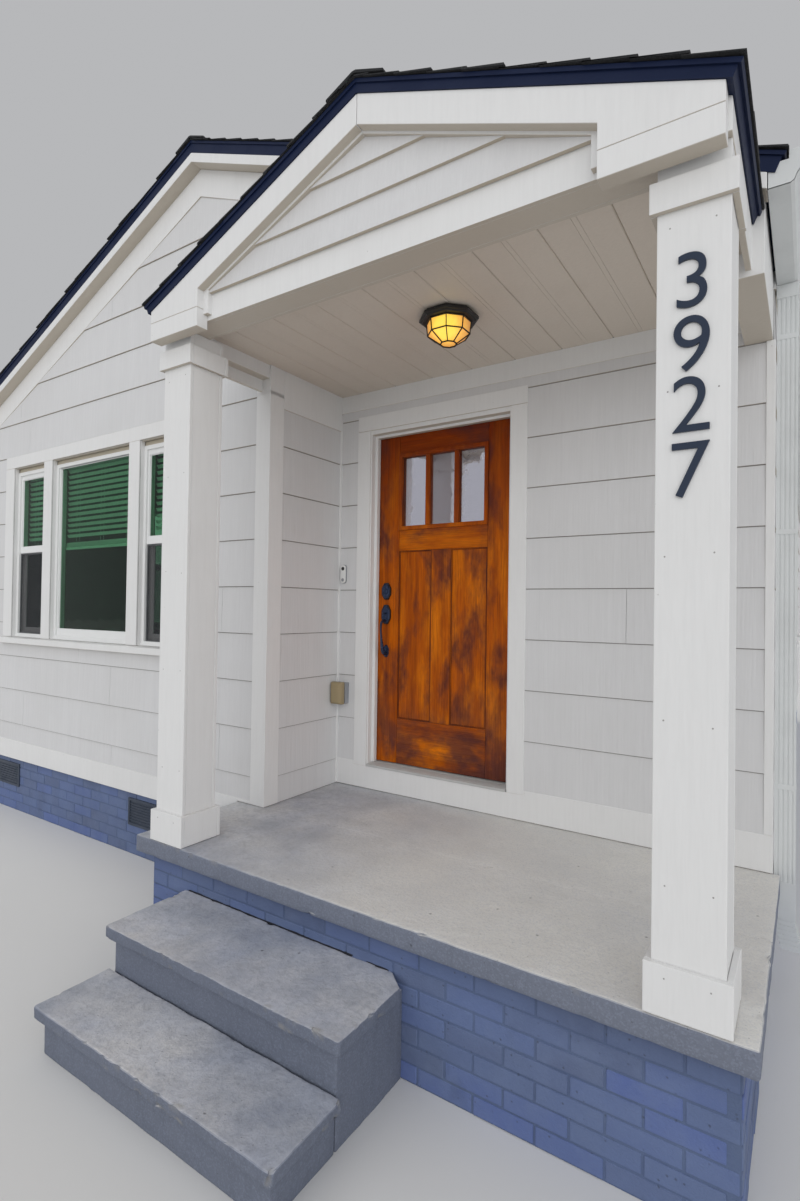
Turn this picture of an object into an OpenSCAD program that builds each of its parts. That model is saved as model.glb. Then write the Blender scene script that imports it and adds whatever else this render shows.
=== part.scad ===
// Front-gabled bungalow with a recessed entry and a gabled porch, in millimetres.
// The front faces -Y, X runs to the right seen from the street, Z is up from the ground.

/* [House] */
// width of the wing beside the entry, from the left wall face to its right corner
wing_w = 3644; // [3400:2:4800]
// length of the wing side, from the wing wall to the back wall
house_l = 9000; // [7500:50:12000]
// thickness of the framed walls with their siding
wall_t = 120; // [100:5:160]
// height of the main roof's top over the ceiling line, at the side wall faces
heel_h = 230; // [215:1:280]
// rise of every roof for 12 of run
pitch = 5; // [4.6:0.1:5.4]
// upright depth of the roof covering and its deck
roof_t = 93; // [80:1:120]
// reach of the main roof past the front and back walls
rake_out = 105; // [90:5:160]
// reach of the main roof past the side walls
eave_out = 70; // [60:5:110]

/* [Foundation] */
// height of the brick foundation under the walls
found_h = 410; // [360:5:450]
// thickness of the brick foundation
found_t = 200; // [190:5:250]
// step in from the wall face to the brick
found_in = 15; // [5:1:30]
// height of the finished floor inside
floor_z = 676; // [670:1:690]

/* [Entry] */
// width of the recessed entry, from the wing's corner to the right wall face
entry_w = 2396; // [2300:5:2500]
// depth of the recess behind the wing wall
recess = 640; // [500:10:760]
// height of the porch slab's top
porch_z = 540; // [500:5:560]
// height of the wall between the door frame and the porch ceiling
over_door = 246; // [210:1:300]

/* [Door] */
// width of the door leaf
door_w = 914; // [820:1:960]
// height of the door leaf
door_h = 2032; // [2000:1:2060]
// thickness of the door leaf
door_t = 44; // [40:1:48]
// distance from the wing's corner to the middle of the door
door_from_corner = 706; // [690:1:760]
// gap around the door leaf
door_gap = 5; // [5:0.5:8]

/* [Front window] */
// distance from the wing's right corner to the middle of the window group
window_mid = 1807; // [1500:1:1900]
// width of the fixed middle window
picture_w = 985; // [900:5:1100]
// width of each double-hung window beside it
side_sash_w = 465; // [380:5:500]
// height of the window openings
window_h = 1367; // [1300:1:1400]
// height of the bottom of the openings
window_z = 1385; // [1350:5:1420]

/* [Porch] */
// distance from the right wall face to the inner face of the right side beam
porch_from_right = 114; // [100:1:125]
// distance from the inner faces of the side beams to the middles of the posts
post_set = 23; // [15:1:35]
// reach of the slab in front of the wing wall
porch_out = 653; // [600:1:760]
// thickness of the porch slab
slab_t = 80; // [60:5:100]
// width of the post shafts
post_w = 190; // [180:1:200]
// width of the post bases and capitals
base_w = 227; // [220:1:240]
// height of the post bases
base_h = 142; // [120:1:170]
// height of the porch roof's top over the ceiling, at the outer faces of the side beams
porch_heel = 82; // [78:1:100]

/* [Steps] */
// width of the two steps
step_w = 1215; // [1100:5:1400]
// distance from the left edge of the slab to the steps
step_from_left = 360; // [250:5:500]
// depth of the upper step in front of the brick base
step_run = 400; // [350:5:450]
// depth of the lower step in front of the upper riser
lower_run = 306; // [280:2:400]

/* [Hidden] */
$fn = 48;

// Lengths and levels worked out from the values above
board_t = 10;
seat = 0.2;
slope = pitch / 12;
half_w = (wing_w + entry_w) / 2;
found_half = half_w - found_in;
rake_box_h = 57;
rake_set = 20;
wall_line = half_w + board_t;
eave_x = half_w + eave_out;
brick_set = 23;
tread_nose = 30;
step_front = porch_out - brick_set + step_run - tread_nose + lower_run;
total_l = step_front + house_l + rake_out;
wing_y = -total_l / 2 + step_front;
entry_y = wing_y + recess;
back_y = wing_y + house_l;
corner_x = half_w - entry_w;

// Door, its frame and its casing, and the levels over them
door_x = corner_x + door_from_corner;
door_face = wall_t - door_t;
sill_rise = 136;
sill_z = porch_z + sill_rise;
sill_t = 20;
sill_nose = 15;
sill_gap = 6;
door_z = sill_z + sill_t + sill_gap;
jamb_t = 32;
jamb_in = door_w / 2 + door_gap;
hole_half = jamb_in + jamb_t;
head_z = door_z + door_h + door_gap;
hole_top = head_z + jamb_t;
ceiling_z = hole_top + over_door;
ceiling_t = 20;
plate_z = ceiling_z + ceiling_t;
ridge_z = ceiling_z + heel_h + slope * half_w;
stop_lap = 12;
stop_t = 31;
casing_w = 95;
side_reveal = 8;
head_reveal = 25;
casing_in = jamb_in + side_reveal;
casing_z = head_z + head_reveal;
entry_trim_h = 160;
entry_trim_z = porch_z + entry_trim_h;

// Hinges
pin_side = 3;
pin_back = 7;
hinge_x = door_x + door_w / 2 + pin_side;
hinge_y = entry_y + wall_t + pin_back;
knuckle_r = 7;
pin_r = 3.5;
pin_gap = 0.3;
hinge_h = 100;
hinge_low = 220;
hinge_step = 746;
hinge_levels = [for (i = [0:2]) hinge_low + i * hinge_step];
leaf_knuckle = 38;
plate_t = 3;
plate_in = 2;
plate_reach = 26;

// Leaf: lites, panels and the raised frame round the lites
lite_w = 165;
lite_gap = 31;
lite_h = 425;
lite_top = 145;
pane_t = 12;
panel_w = 235;
panel_gap = 130;
panel_h = 1035;
panel_z = 275;
panel_sunk = 9;
glazing_w = 607;
glazing_h = 475;
glazing_rim = 25;
glazing_out = 10;

// Handle set and deadbolt
lock_in = 70;
handle_up = 916;
bolt_up = 144;
handle_z = door_z + handle_up;
bolt_z = handle_z + bolt_up;
lock_plate_w = 64;
lock_plate_h = 116;
lock_plate_t = 14;
grip_out = 62;
grip_w = 18;
grip_t = 16;
grip_low = 251;
grip_high = 12;
foot_plate_w = 42;
foot_plate_h = 78;
foot_plate_t = 8;
foot_plate_drop = 7;
latch_w = 28;
latch_out = 44;
latch_t = 6;
knob_r = 27;
knob_h = 25;
rose_r = 32;
rose_t = 10;
spindle_r = 12;
spindle_h = 40;
bolt_plate_w = 66;
bolt_plate_h = 103;
bolt_r = 30;
bolt_t = 14;
bolt_key_r = 17;
bolt_key_h = 22;
turn_w = 10;
turn_h = 40;
turn_t = 16;

// Windows
mullion_w = 118;
front_leg_w = 132;
group_w = picture_w + 2 * side_sash_w + 2 * mullion_w;
window_x = corner_x - window_mid;
frame_d = 70;
frame_in = 27;
pane_side = 43;
fixed_head = 60;
fixed_foot = 84;
sash_head = 95;
sash_foot = 72;
rail_z = 700;
rail_h = 56;
glass_t = 8;
side_win_w = 860;
head_casing = 95;
side_casing = 90;
sill_out = 48;
sill_h = 50;
sill_horn = 10;
window_spots = [[window_x - group_w / 2, window_x - group_w / 2 + side_sash_w],
    [window_x - picture_w / 2, window_x + picture_w / 2],
    [window_x + group_w / 2 - side_sash_w, window_x + group_w / 2]];
left_wins = [2000, 4500, 7000];
right_wins = [2000, 4500, 7000];
back_wins = [-1500, 1500];
blind_drop = 682;
blind_in = 30;
blind_t = 25;

// Porch in plan
side_in = (entry_w - porch_from_right) / 2;
post_span = 2 * (side_in - post_set);
side_beam_w = 74;
side_out = side_in + side_beam_w;
side_board_t = 20;
porch_x = corner_x + side_in;
slab_past_corner = 204;
slab_past_wall = 40;
slab_left = corner_x - slab_past_corner;
slab_right = half_w + slab_past_wall;
slab_front = wing_y - porch_out;
brick_in_left = 120;
brick_in_right = 45;
brick_left = slab_left + brick_in_left;
brick_right = slab_right - brick_in_right;
brick_front = slab_front + brick_set;
post_in = 2;
post_front = slab_front + post_in;
beam_out = 7;
beam_w = 140;
beam_front = slab_front - beam_out;
beam_back = beam_front + beam_w;
rake_deep = 60;
rake_face = beam_front - rake_deep;
shingle_out = 25;
porch_roof_front = rake_face - shingle_out;
recess_beam_w = 110;
rake_end_in = 10;
rake_half = side_out - rake_end_in;
return_w = 330;
return_half = rake_half - return_w;
porch_eave_out = 35;
porch_eave = side_out + porch_eave_out;

// Porch in height, measured from the ceiling
beam_drop = 82;
beam_rise = 63;
neck_h = 65;
capital_h = 89;
side_drop = 147;
recess_drop = 170;
return_drop = 125;
beam_z = ceiling_z - beam_drop;
beam_top = ceiling_z + beam_rise;
capital_top = beam_z - neck_h;
capital_low = capital_top - capital_h;
side_low = ceiling_z - side_drop;
recess_beam_z = ceiling_z - recess_drop;
return_z = ceiling_z - return_drop;
porch_roof_t = 70;
porch_fascia_h = 114;
porch_ridge_z = ceiling_z + porch_heel + slope * side_out;
pediment_t = 80;
pediment_set = 15;
pediment_half = (porch_ridge_z - porch_roof_t - seat - beam_top) / slope;

// Steps
tread_t = 50;
step_x = slab_left + step_from_left;
upper_z = porch_z * 2 / 3;
lower_z = porch_z / 3;
upper_front = brick_front - step_run;
upper_riser_y = upper_front + tread_nose;
lower_front = upper_riser_y - lower_run;

// Gutters and downspouts
gutter_w = 118;
gutter_h = 113;
gutter_back = 84;
gutter_t = 3;
gutter_gap = 3;
gutter_end = 25;
gutter_curve = 25;
eave_t = 40;
gutter_z = ridge_z - slope * eave_x - eave_t - gutter_back - gutter_gap;
pipe_w = 78;
pipe_d = 58;
pipe_in = 4;
left_pipe_foot = 60;
right_pipe_foot = 218;
left_pipe_y = 60;
right_pipe_y = 20;

// Vents, corner boards and friezes
vent_w = 400;
vent_h = 180;
vent_t = 12;
vent_rim = 18;
vent_back = 4;
slat_t = 6;
slat_in = 2;
vent_z = 190;
vent_slats = 7;
vent_right_in = 1064;
vent_left_in = 720;
vent_xs = [corner_x - vent_right_in, -half_w + vent_left_in];
vent_ys = [2200, 6400];
corner_w = 100;
corner_strip = 25;
trim_h = 147;
trim_top = found_h + trim_h;
frieze_h = 170;
frieze_low = roof_t + rake_box_h + frieze_h;
eave_gap = 20;
recess_frieze = 228;
entry_frieze = 114;

// Ceiling light
light_left = 5;
light_out = 640;
light_x = porch_x - light_left;
light_y = entry_y - light_out;
light_r = 140;
light_cap = 42;
cage_t = 6;
globe_r = 100;
globe_low = 147;

// Doorbell and outlet cover
bell_in = 8;
bell_w = 38;
bell_h = 110;
bell_t = 22;
bell_up = 1285;
bell_z = porch_z + bell_up;
outlet_in = 25;
outlet_w = 85;
outlet_h = 125;
outlet_t = 62;
outlet_up = 500;
outlet_z = porch_z + outlet_up;

// Height of the top of a roof over a point across it, and of what seats under it
function main_top(x) = ridge_z - slope * abs(x);
function main_under(x) = main_top(x) - roof_t - seat;
function porch_top(x) = porch_ridge_z - slope * abs(x - porch_x);
function porch_under(x) = porch_top(x) - porch_roof_t - seat;

foundation_walls();
foundation_vents();
floor_deck();
wing_wall();
return_wall();
entry_wall_left();
entry_wall_right();
entry_wall_head();
left_wall();
right_wall();
back_wall();
gable_walls();
roof_left();
roof_right();
rake_boards();
gutters();
corner_boards();
base_trim();
frieze_boards();
porch_base();
porch_slab();
upper_step();
lower_step();
porch_posts();
front_beam();
side_beams();
pediment_panel();
porch_rake_boards();
porch_roof();
porch_ceiling();
door_frame();
casings();
door_sill();
door_hinges();
door_leaf();
door_glass();
door_handle();
deadbolt();
window_frames();
window_glass();
window_blinds();
ceiling_light();
light_globe();
doorbell();
outlet_cover();

// Box between two opposite corners
module box(a, b) {
    translate(a) cube(b - a);
}

// Extrude an outline drawn across X and Z along Y, from y0 to y1
module along_y(y0, y1) {
    translate([0, y1, 0]) rotate([90, 0, 0]) linear_extrude(y1 - y0) children();
}

// Foundation: brick walls around the crawl space
module foundation_walls() {
    color([0.36, 0.42, 0.52]) {
        box([-found_half, wing_y + found_in, 0],
            [corner_x - found_in, wing_y + found_in + found_t, found_h]);
        box([corner_x - found_in - found_t, wing_y + found_in + found_t, 0],
            [corner_x - found_in, entry_y + found_in + found_t, found_h]);
        box([corner_x - found_in, entry_y + found_in, 0],
            [found_half, entry_y + found_in + found_t, found_h]);
        box([-found_half, wing_y + found_in + found_t, 0],
            [-found_half + found_t, back_y - found_in, found_h]);
        box([found_half - found_t, entry_y + found_in + found_t, 0],
            [found_half, back_y - found_in, found_h]);
        box([-found_half + found_t, back_y - found_in - found_t, 0],
            [found_half - found_t, back_y - found_in, found_h]);
    }
}

// Slatted vents on the face of the brick: a rim with level slats
module vent() {
    difference() {
        box([-vent_w / 2, -vent_t, 0], [vent_w / 2, 0, vent_h]);
        box([-vent_w / 2 + vent_rim, -vent_t - 1, vent_rim],
            [vent_w / 2 - vent_rim, -vent_back, vent_h - vent_rim]);
    }
    for (i = [1:vent_slats]) {
        z = vent_rim + i * (vent_h - 2 * vent_rim) / (vent_slats + 1);
        box([-vent_w / 2 + vent_rim, -vent_t + slat_in, z - slat_t / 2],
            [vent_w / 2 - vent_rim, -vent_back, z + slat_t / 2]);
    }
}

module foundation_vents() {
    color([0.3, 0.33, 0.38]) {
        for (x = vent_xs) translate([x, wing_y + found_in, vent_z]) vent();
        for (y = vent_ys, s = [-1, 1])
            translate([s * found_half, wing_y + y, vent_z]) rotate([0, 0, s * 90]) vent();
    }
}

// Floor platform between the walls
module floor_deck() {
    color([0.62, 0.5, 0.36]) union() {
        box([-half_w + wall_t, wing_y + wall_t, found_h],
            [corner_x - wall_t, entry_y + wall_t, floor_z]);
        box([-half_w + wall_t, entry_y + wall_t, found_h],
            [half_w - wall_t, back_y - wall_t, floor_z]);
    }
}

// Walls
module wing_wall() {
    color([0.93, 0.93, 0.92]) difference() {
        box([-half_w + wall_t, wing_y, found_h], [corner_x, wing_y + wall_t, plate_z]);
        for (x = window_spots) box([x[0], wing_y - 1, window_z],
            [x[1], wing_y + wall_t + 1, window_z + window_h]);
    }
}

module return_wall() {
    color([0.93, 0.93, 0.92]) box([corner_x - wall_t, wing_y + wall_t, found_h],
        [corner_x, entry_y + wall_t, plate_z]);
}

module entry_wall_left() {
    color([0.93, 0.93, 0.92]) box([corner_x, entry_y, found_h],
        [door_x - hole_half, entry_y + wall_t, plate_z]);
}

module entry_wall_right() {
    color([0.93, 0.93, 0.92]) box([door_x + hole_half, entry_y, found_h],
        [half_w - wall_t, entry_y + wall_t, plate_z]);
}

module entry_wall_head() {
    color([0.93, 0.93, 0.92]) {
        box([door_x - hole_half, entry_y, hole_top],
            [door_x + hole_half, entry_y + wall_t, plate_z]);
        box([door_x - hole_half, entry_y, found_h],
            [door_x + hole_half, entry_y + wall_t, sill_z]);
    }
}

// Side wall from y0 to the back, its top cut to the slope of the roof
module side_wall(s, y0, wins) {
    out = half_w;
    inn = half_w - wall_t;
    difference() {
        along_y(y0, back_y) polygon([[s * out, found_h], [s * out, main_under(out)],
            [s * inn, main_under(inn)], [s * inn, found_h]]);
        for (y = wins) box([s > 0 ? inn - 1 : -out - 1, wing_y + y - side_win_w / 2, window_z],
            [s > 0 ? out + 1 : -inn + 1, wing_y + y + side_win_w / 2, window_z + window_h]);
    }
}

module left_wall() {
    color([0.93, 0.93, 0.92]) side_wall(-1, wing_y, left_wins);
}

module right_wall() {
    color([0.93, 0.93, 0.92]) side_wall(1, entry_y, right_wins);
}

module back_wall() {
    color([0.93, 0.93, 0.92]) difference() {
        box([-half_w + wall_t, back_y - wall_t, found_h],
            [half_w - wall_t, back_y, plate_z]);
        for (x = back_wins) box([x - side_win_w / 2, back_y - wall_t - 1, window_z],
            [x + side_win_w / 2, back_y + 1, window_z + window_h]);
    }
}

// Gable triangle between the side walls, over the ceiling line
module gable_outline(left, right) {
    base = plate_z;
    polygon([[left, base], [left, main_under(left)], [0, main_under(0)],
        [right, main_under(right)], [right, base]]);
}

module gable_walls() {
    color([0.93, 0.93, 0.92]) {
        along_y(wing_y, wing_y + wall_t)
            gable_outline(-half_w + wall_t, half_w - recess_beam_w);
        along_y(back_y - wall_t, back_y) gable_outline(-half_w + wall_t, half_w - wall_t);
    }
}

// Main roof: one sloping slab a side, plumb at the ridge and at the eave
module roof_slab(s) {
    along_y(wing_y - rake_out, back_y + rake_out)
        polygon([[0, main_top(0)], [s * eave_x, main_top(eave_x)],
            [s * eave_x, main_top(eave_x) - eave_t], [s * wall_line, main_top(wall_line) - eave_t],
            [s * wall_line, main_top(wall_line) - roof_t], [0, main_top(0) - roof_t]]);
}

module roof_left() {
    color([0.16, 0.17, 0.2]) roof_slab(-1);
}

module roof_right() {
    color([0.16, 0.17, 0.2]) roof_slab(1);
}

// Boxed rakes under the roof's front and back overhang
module rake_box(y0, y1) {
    x = wall_line;
    h = rake_box_h;
    along_y(y0, y1) polygon([[0, main_under(0)], [x, main_under(x)], [x, main_under(x) - h],
        [0, main_under(0) - h], [-x, main_under(x) - h], [-x, main_under(x)]]);
}

module rake_boards() {
    color([0.95, 0.95, 0.94]) {
        rake_box(wing_y - rake_out + rake_set, wing_y);
        rake_box(back_y, back_y + rake_out - rake_set);
    }
}

// Gutter with end caps, and the downspout at its front end
module gutter_outline(s, in) {
    x0 = wall_line + in;
    x1 = wall_line + gutter_w - in;
    xe = eave_x + gutter_gap;
    polygon([[s * x0, gutter_z + in], [s * x0, gutter_z + gutter_back + (in > 0 ? gutter_h : 0)],
        [s * (xe + in), gutter_z + gutter_back + (in > 0 ? gutter_h : 0)],
        [s * (xe + in), gutter_z + gutter_h + in], [s * x1, gutter_z + gutter_h + in],
        [s * x1, gutter_z + gutter_h / 2], [s * (x1 - gutter_curve), gutter_z + in]]);
}

module gutter(s, y_pipe, pipe_foot) {
    y0 = wing_y - rake_out + gutter_end;
    y1 = back_y + rake_out - gutter_end;
    x = s > 0 ? wall_line + pipe_in : -wall_line - pipe_in - pipe_w;
    difference() {
        along_y(y0, y1) gutter_outline(s, 0);
        along_y(y0 + gutter_t, y1 - gutter_t) gutter_outline(s, gutter_t);
    }
    box([x, y_pipe, pipe_foot], [x + pipe_w, y_pipe + pipe_d, gutter_z - seat]);
}

module gutters() {
    color([0.9, 0.91, 0.92]) {
        gutter(-1, wing_y + left_pipe_y, left_pipe_foot);
        gutter(1, entry_y + right_pipe_y, right_pipe_foot);
    }
}

// Plan rectangle between two points, raised from one level to another
module upright(a, b, low, top) {
    box([min(a[0], b[0]), min(a[1], b[1]), low], [max(a[0], b[0]), max(a[1], b[1]), top]);
}

// Boards at a corner of the walls, one on each face
module corner_board(x, y, sx, sy, low, top) {
    upright([x - sx * board_t, y - sy * board_t], [x + sx * corner_w, y], low, top);
    upright([x - sx * board_t, y], [x, y + sy * corner_w], low, top);
}

// Boards on the gable faces are cut to the slope of the frieze above them; the corner at the
// right end of the entry wall has a narrow strip instead
module corner_boards() {
    top = gutter_z - eave_gap;
    low = main_top(half_w) - frieze_low;
    color([0.96, 0.96, 0.95]) {
        difference() {
            union() {
                corner_board(-half_w, wing_y, 1, 1, trim_top, top);
                corner_board(-half_w, back_y, 1, -1, trim_top, top);
                corner_board(half_w, back_y, -1, -1, trim_top, top);
            }
            along_y(wing_y - 2 * board_t, back_y + 2 * board_t)
                polygon([[0, main_top(0) - frieze_low], [half_w, low], [half_w, ridge_z],
                    [-half_w, ridge_z], [-half_w, low]]);
        }
        corner_board(corner_x, wing_y, -1, 1, porch_z, side_low);
        upright([half_w + board_t, entry_y - board_t], [half_w - corner_strip, entry_y],
            entry_trim_z, recess_beam_z);
        upright([half_w + board_t, entry_y], [half_w, entry_y + corner_strip], trim_top, recess_beam_z);
    }
}

// Water table boards round the foot of the walls
module base_trim() {
    color([0.96, 0.96, 0.95]) {
        box([-half_w - board_t, wing_y - board_t, found_h], [slab_left, wing_y, trim_top]);
        box([slab_left, wing_y - board_t, porch_z], [corner_x - corner_w, wing_y, trim_top]);
        box([-half_w - board_t, wing_y, found_h], [-half_w, back_y + board_t, trim_top]);
        box([-half_w, back_y, found_h], [half_w + board_t, back_y + board_t, trim_top]);
        box([half_w, entry_y, found_h], [half_w + board_t, back_y, trim_top]);
        difference() {
            box([corner_x, entry_y - board_t, porch_z], [half_w + board_t, entry_y, entry_trim_z]);
            box([door_x - casing_in - casing_w, entry_y - 2 * board_t, sill_z],
                [door_x + casing_in + casing_w, entry_y + 1, entry_trim_z + 1]);
        }
    }
}

// Frieze boards: under the rakes, under the eaves and round the top of the recess
module gable_frieze(y0, y1) {
    x = half_w - 1;
    h = rake_box_h + seat;
    along_y(y0, y1) polygon([[0, main_under(0) - h], [x, main_under(x) - h],
        [x, main_top(x) - frieze_low], [0, main_top(0) - frieze_low],
        [-x, main_top(x) - frieze_low], [-x, main_under(x) - h]]);
}

module frieze_boards() {
    eave_low = gutter_z - eave_gap;
    eave_top = main_under(wall_line);
    color([0.96, 0.96, 0.95]) {
        difference() {
            gable_frieze(wing_y - board_t, wing_y);
            along_y(wing_y - 2 * board_t, wing_y + 1) polygon([[porch_x, porch_top(porch_x) + 2],
                [porch_x - porch_eave, porch_top(porch_x - porch_eave) + 2],
                [porch_x - porch_eave, 0], [half_w + 1, 0], [half_w + 1, ridge_z], [porch_x, ridge_z]]);
        }
        gable_frieze(back_y, back_y + board_t);
        for (s = [-1, 1]) upright([s * half_w, s > 0 ? entry_y : wing_y],
            [s * wall_line, back_y], eave_low, eave_top);
        box([corner_x, wing_y + corner_w, ceiling_z - recess_frieze],
            [corner_x + board_t, entry_y - board_t, ceiling_z]);
        box([corner_x, entry_y - board_t, ceiling_z - entry_frieze],
            [half_w - recess_beam_w, entry_y, ceiling_z]);
    }
}

// Porch: a brick base under an overhanging concrete slab
module porch_base() {
    color([0.36, 0.42, 0.52]) {
        box([brick_left, brick_front, 0], [brick_right, wing_y, porch_z - slab_t]);
        box([brick_left, wing_y - 1, 0], [corner_x, wing_y + found_in, found_h]);
        box([corner_x, wing_y - 1, 0], [brick_right, entry_y, porch_z - slab_t]);
    }
}

module porch_slab() {
    color([0.55, 0.58, 0.63]) union() {
        box([slab_left, slab_front, porch_z - slab_t], [slab_right, wing_y, porch_z]);
        box([corner_x, wing_y, porch_z - slab_t], [slab_right, entry_y, porch_z]);
    }
}

// Step: a thick tread that overhangs the riser below it on three sides
module step(front, riser, back, top) {
    union() {
        box([step_x, front, top - tread_t], [step_x + step_w, back, top]);
        box([step_x + tread_nose, riser, 0], [step_x + step_w - tread_nose, back, top - tread_t + 1]);
    }
}

module upper_step() {
    color([0.55, 0.58, 0.63]) step(upper_front, upper_riser_y, brick_front, upper_z);
}

module lower_step() {
    color([0.55, 0.58, 0.63])
        step(lower_front, lower_front + tread_nose, upper_riser_y, lower_z);
}

// Boxed posts with a plain base and capital, their fronts on the slab's edge
module porch_posts() {
    mid = post_front + base_w / 2;
    color([0.96, 0.96, 0.95]) for (s = [-1, 1])
        translate([porch_x + s * post_span / 2, mid, porch_z]) union() {
            box([-base_w / 2, -base_w / 2, 0], [base_w / 2, base_w / 2, base_h]);
            box([-post_w / 2, -post_w / 2, 0], [post_w / 2, post_w / 2, beam_z - porch_z]);
            box([-base_w / 2, -base_w / 2, capital_low - porch_z],
                [base_w / 2, base_w / 2, capital_top - porch_z]);
        }
}

// Beams of the porch: one over the posts and one back to the house on each side
module front_beam() {
    x = side_in;
    top = porch_under(porch_x + x);
    color([0.96, 0.96, 0.95]) along_y(beam_front, beam_back) polygon([[porch_x - x, beam_z],
        [porch_x - x, top], [porch_x - pediment_half, beam_top],
        [porch_x + pediment_half, beam_top], [porch_x + x, top], [porch_x + x, beam_z]]);
}

// Side beam under the roof's slope, and the board that hangs outside it behind the post
module side_beam(s) {
    x0 = porch_x + s * side_in;
    x1 = porch_x + s * (side_out - side_board_t);
    x2 = porch_x + s * side_out;
    post_back = post_front + (base_w + post_w) / 2;
    union() {
        along_y(beam_front, wing_y)
            polygon([[x0, beam_z], [x0, porch_under(x0)], [x2, porch_under(x2)], [x2, beam_z]]);
        upright([x1, post_back + 2], [x2, wing_y], side_low, beam_z + 1);
    }
}

module side_beams() {
    out = half_w;
    inn = half_w - recess_beam_w;
    color([0.96, 0.96, 0.95]) {
        side_beam(-1);
        union() {
            side_beam(1);
            along_y(wing_y, entry_y) polygon([[inn, recess_beam_z], [inn, main_under(inn)],
                [out, main_under(out)], [out, recess_beam_z]]);
        }
    }
}

// Wall of the pediment, over the band that the front beam shows
module pediment_panel() {
    y0 = beam_front + pediment_set;
    color([0.95, 0.95, 0.94]) along_y(y0, y0 + pediment_t)
        polygon([[porch_x - pediment_half, beam_top],
            [porch_x, porch_under(porch_x)], [porch_x + pediment_half, beam_top]]);
}

// Rake boards of the porch, boxed back to the beam, with a solid return at each end
module porch_rake_boards() {
    h = porch_fascia_h;
    l = porch_x - rake_half;
    r = porch_x + rake_half;
    li = porch_x - return_half;
    ri = porch_x + return_half;
    color([0.96, 0.96, 0.95]) along_y(rake_face, beam_front)
        polygon([[porch_x, porch_under(porch_x)], [r, porch_under(r)], [r, return_z],
            [ri, return_z], [ri, porch_under(ri) - h], [porch_x, porch_under(porch_x) - h],
            [li, porch_under(li) - h], [li, return_z], [l, return_z], [l, porch_under(l)]]);
}

// Porch roof: one sloping slab a side, dying into the front gable
module porch_roof() {
    color([0.16, 0.17, 0.2]) for (s = [-1, 1]) {
        x = porch_x + s * porch_eave;
        along_y(porch_roof_front, wing_y) polygon([[porch_x, porch_top(porch_x)],
            [x, porch_top(x)], [x, porch_top(x) - porch_roof_t],
            [porch_x, porch_top(porch_x) - porch_roof_t]]);
    }
}

// Plank ceiling over the porch and the recess
module porch_ceiling() {
    color([0.95, 0.94, 0.92]) union() {
        box([porch_x - side_in, beam_back, ceiling_z],
            [porch_x + side_in, wing_y, plate_z]);
        box([corner_x, wing_y, ceiling_z],
            [half_w - recess_beam_w, entry_y, plate_z]);
    }
}

// Door frame: jambs and head with a stop on the street side of the leaf
module door_frame() {
    stop = jamb_in - door_gap - stop_lap;
    color([0.96, 0.96, 0.95]) translate([door_x, entry_y, 0]) {
        difference() {
            box([-hole_half, 0, sill_z], [hole_half, wall_t, hole_top]);
            box([-jamb_in, -1, sill_z - 1], [jamb_in, wall_t + 1, head_z]);
        }
        difference() {
            box([-jamb_in, door_face - door_gap - stop_t, sill_z + sill_t],
                [jamb_in, door_face - door_gap, head_z]);
            box([-stop, 0, sill_z], [stop, door_face, head_z - door_gap - stop_lap]);
        }
    }
}

// Flat casings round the door and the windows, with mullion boards and sills
module door_casing() {
    difference() {
        box([-casing_in - casing_w, -board_t, sill_z],
            [casing_in + casing_w, 0, casing_z + casing_w]);
        box([-casing_in, -board_t - 1, sill_z - 1], [casing_in, 1, casing_z]);
    }
}

// Casing round a group of openings, given as spans across the wall
module window_casing(spans, h, side, head) {
    first = spans[0][0];
    last = spans[len(spans) - 1][1];
    difference() {
        box([first - side, -board_t, 0], [last + side, 0, h + head]);
        for (s = spans) box([s[0], -board_t - 1, -1], [s[1], 1, h]);
    }
    box([first - side - sill_horn, -sill_out, -sill_h], [last + side + sill_horn, 0, 0]);
}

module casings() {
    span = [[-side_win_w / 2, side_win_w / 2]];
    color([0.96, 0.96, 0.95]) {
        translate([door_x, entry_y, 0]) door_casing();
        translate([0, wing_y, window_z])
            window_casing(window_spots, window_h, front_leg_w, head_casing);
        for (y = left_wins) translate([-half_w, wing_y + y, window_z]) rotate([0, 0, -90])
            window_casing(span, window_h, side_casing, head_casing);
        for (y = right_wins) translate([half_w, wing_y + y, window_z]) rotate([0, 0, 90])
            window_casing(span, window_h, side_casing, head_casing);
        for (x = back_wins) translate([x, back_y, window_z]) rotate([0, 0, 180])
            window_casing(span, window_h, side_casing, head_casing);
    }
}

module door_sill() {
    color([0.72, 0.73, 0.74]) box([door_x - jamb_in, entry_y - sill_nose, sill_z],
        [door_x + jamb_in, entry_y + wall_t, sill_z + sill_t]);
}

// Hinges: fixed pins with a knuckle above and below each knuckle of the leaf
module door_hinges() {
    side = (hinge_h - leaf_knuckle) / 2 - 1;
    color([0.35, 0.28, 0.2]) for (h = hinge_levels) translate([0, 0, door_z + h]) union() {
        translate([hinge_x, hinge_y, -hinge_h / 2]) cylinder(r = pin_r, h = hinge_h);
        for (z = [-hinge_h / 2, hinge_h / 2 - side]) translate([0, 0, z]) {
            translate([hinge_x, hinge_y, 0]) cylinder(r = knuckle_r, h = side);
            box([hinge_x + plate_in, entry_y + wall_t, 0],
                [hinge_x + plate_in + plate_reach, entry_y + wall_t + plate_t, side]);
        }
    }
}

// Leaf with three lites over two sunk panels, and its own hinge knuckles
function lite_x(i) = (i - 1) * (lite_w + lite_gap);

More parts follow.
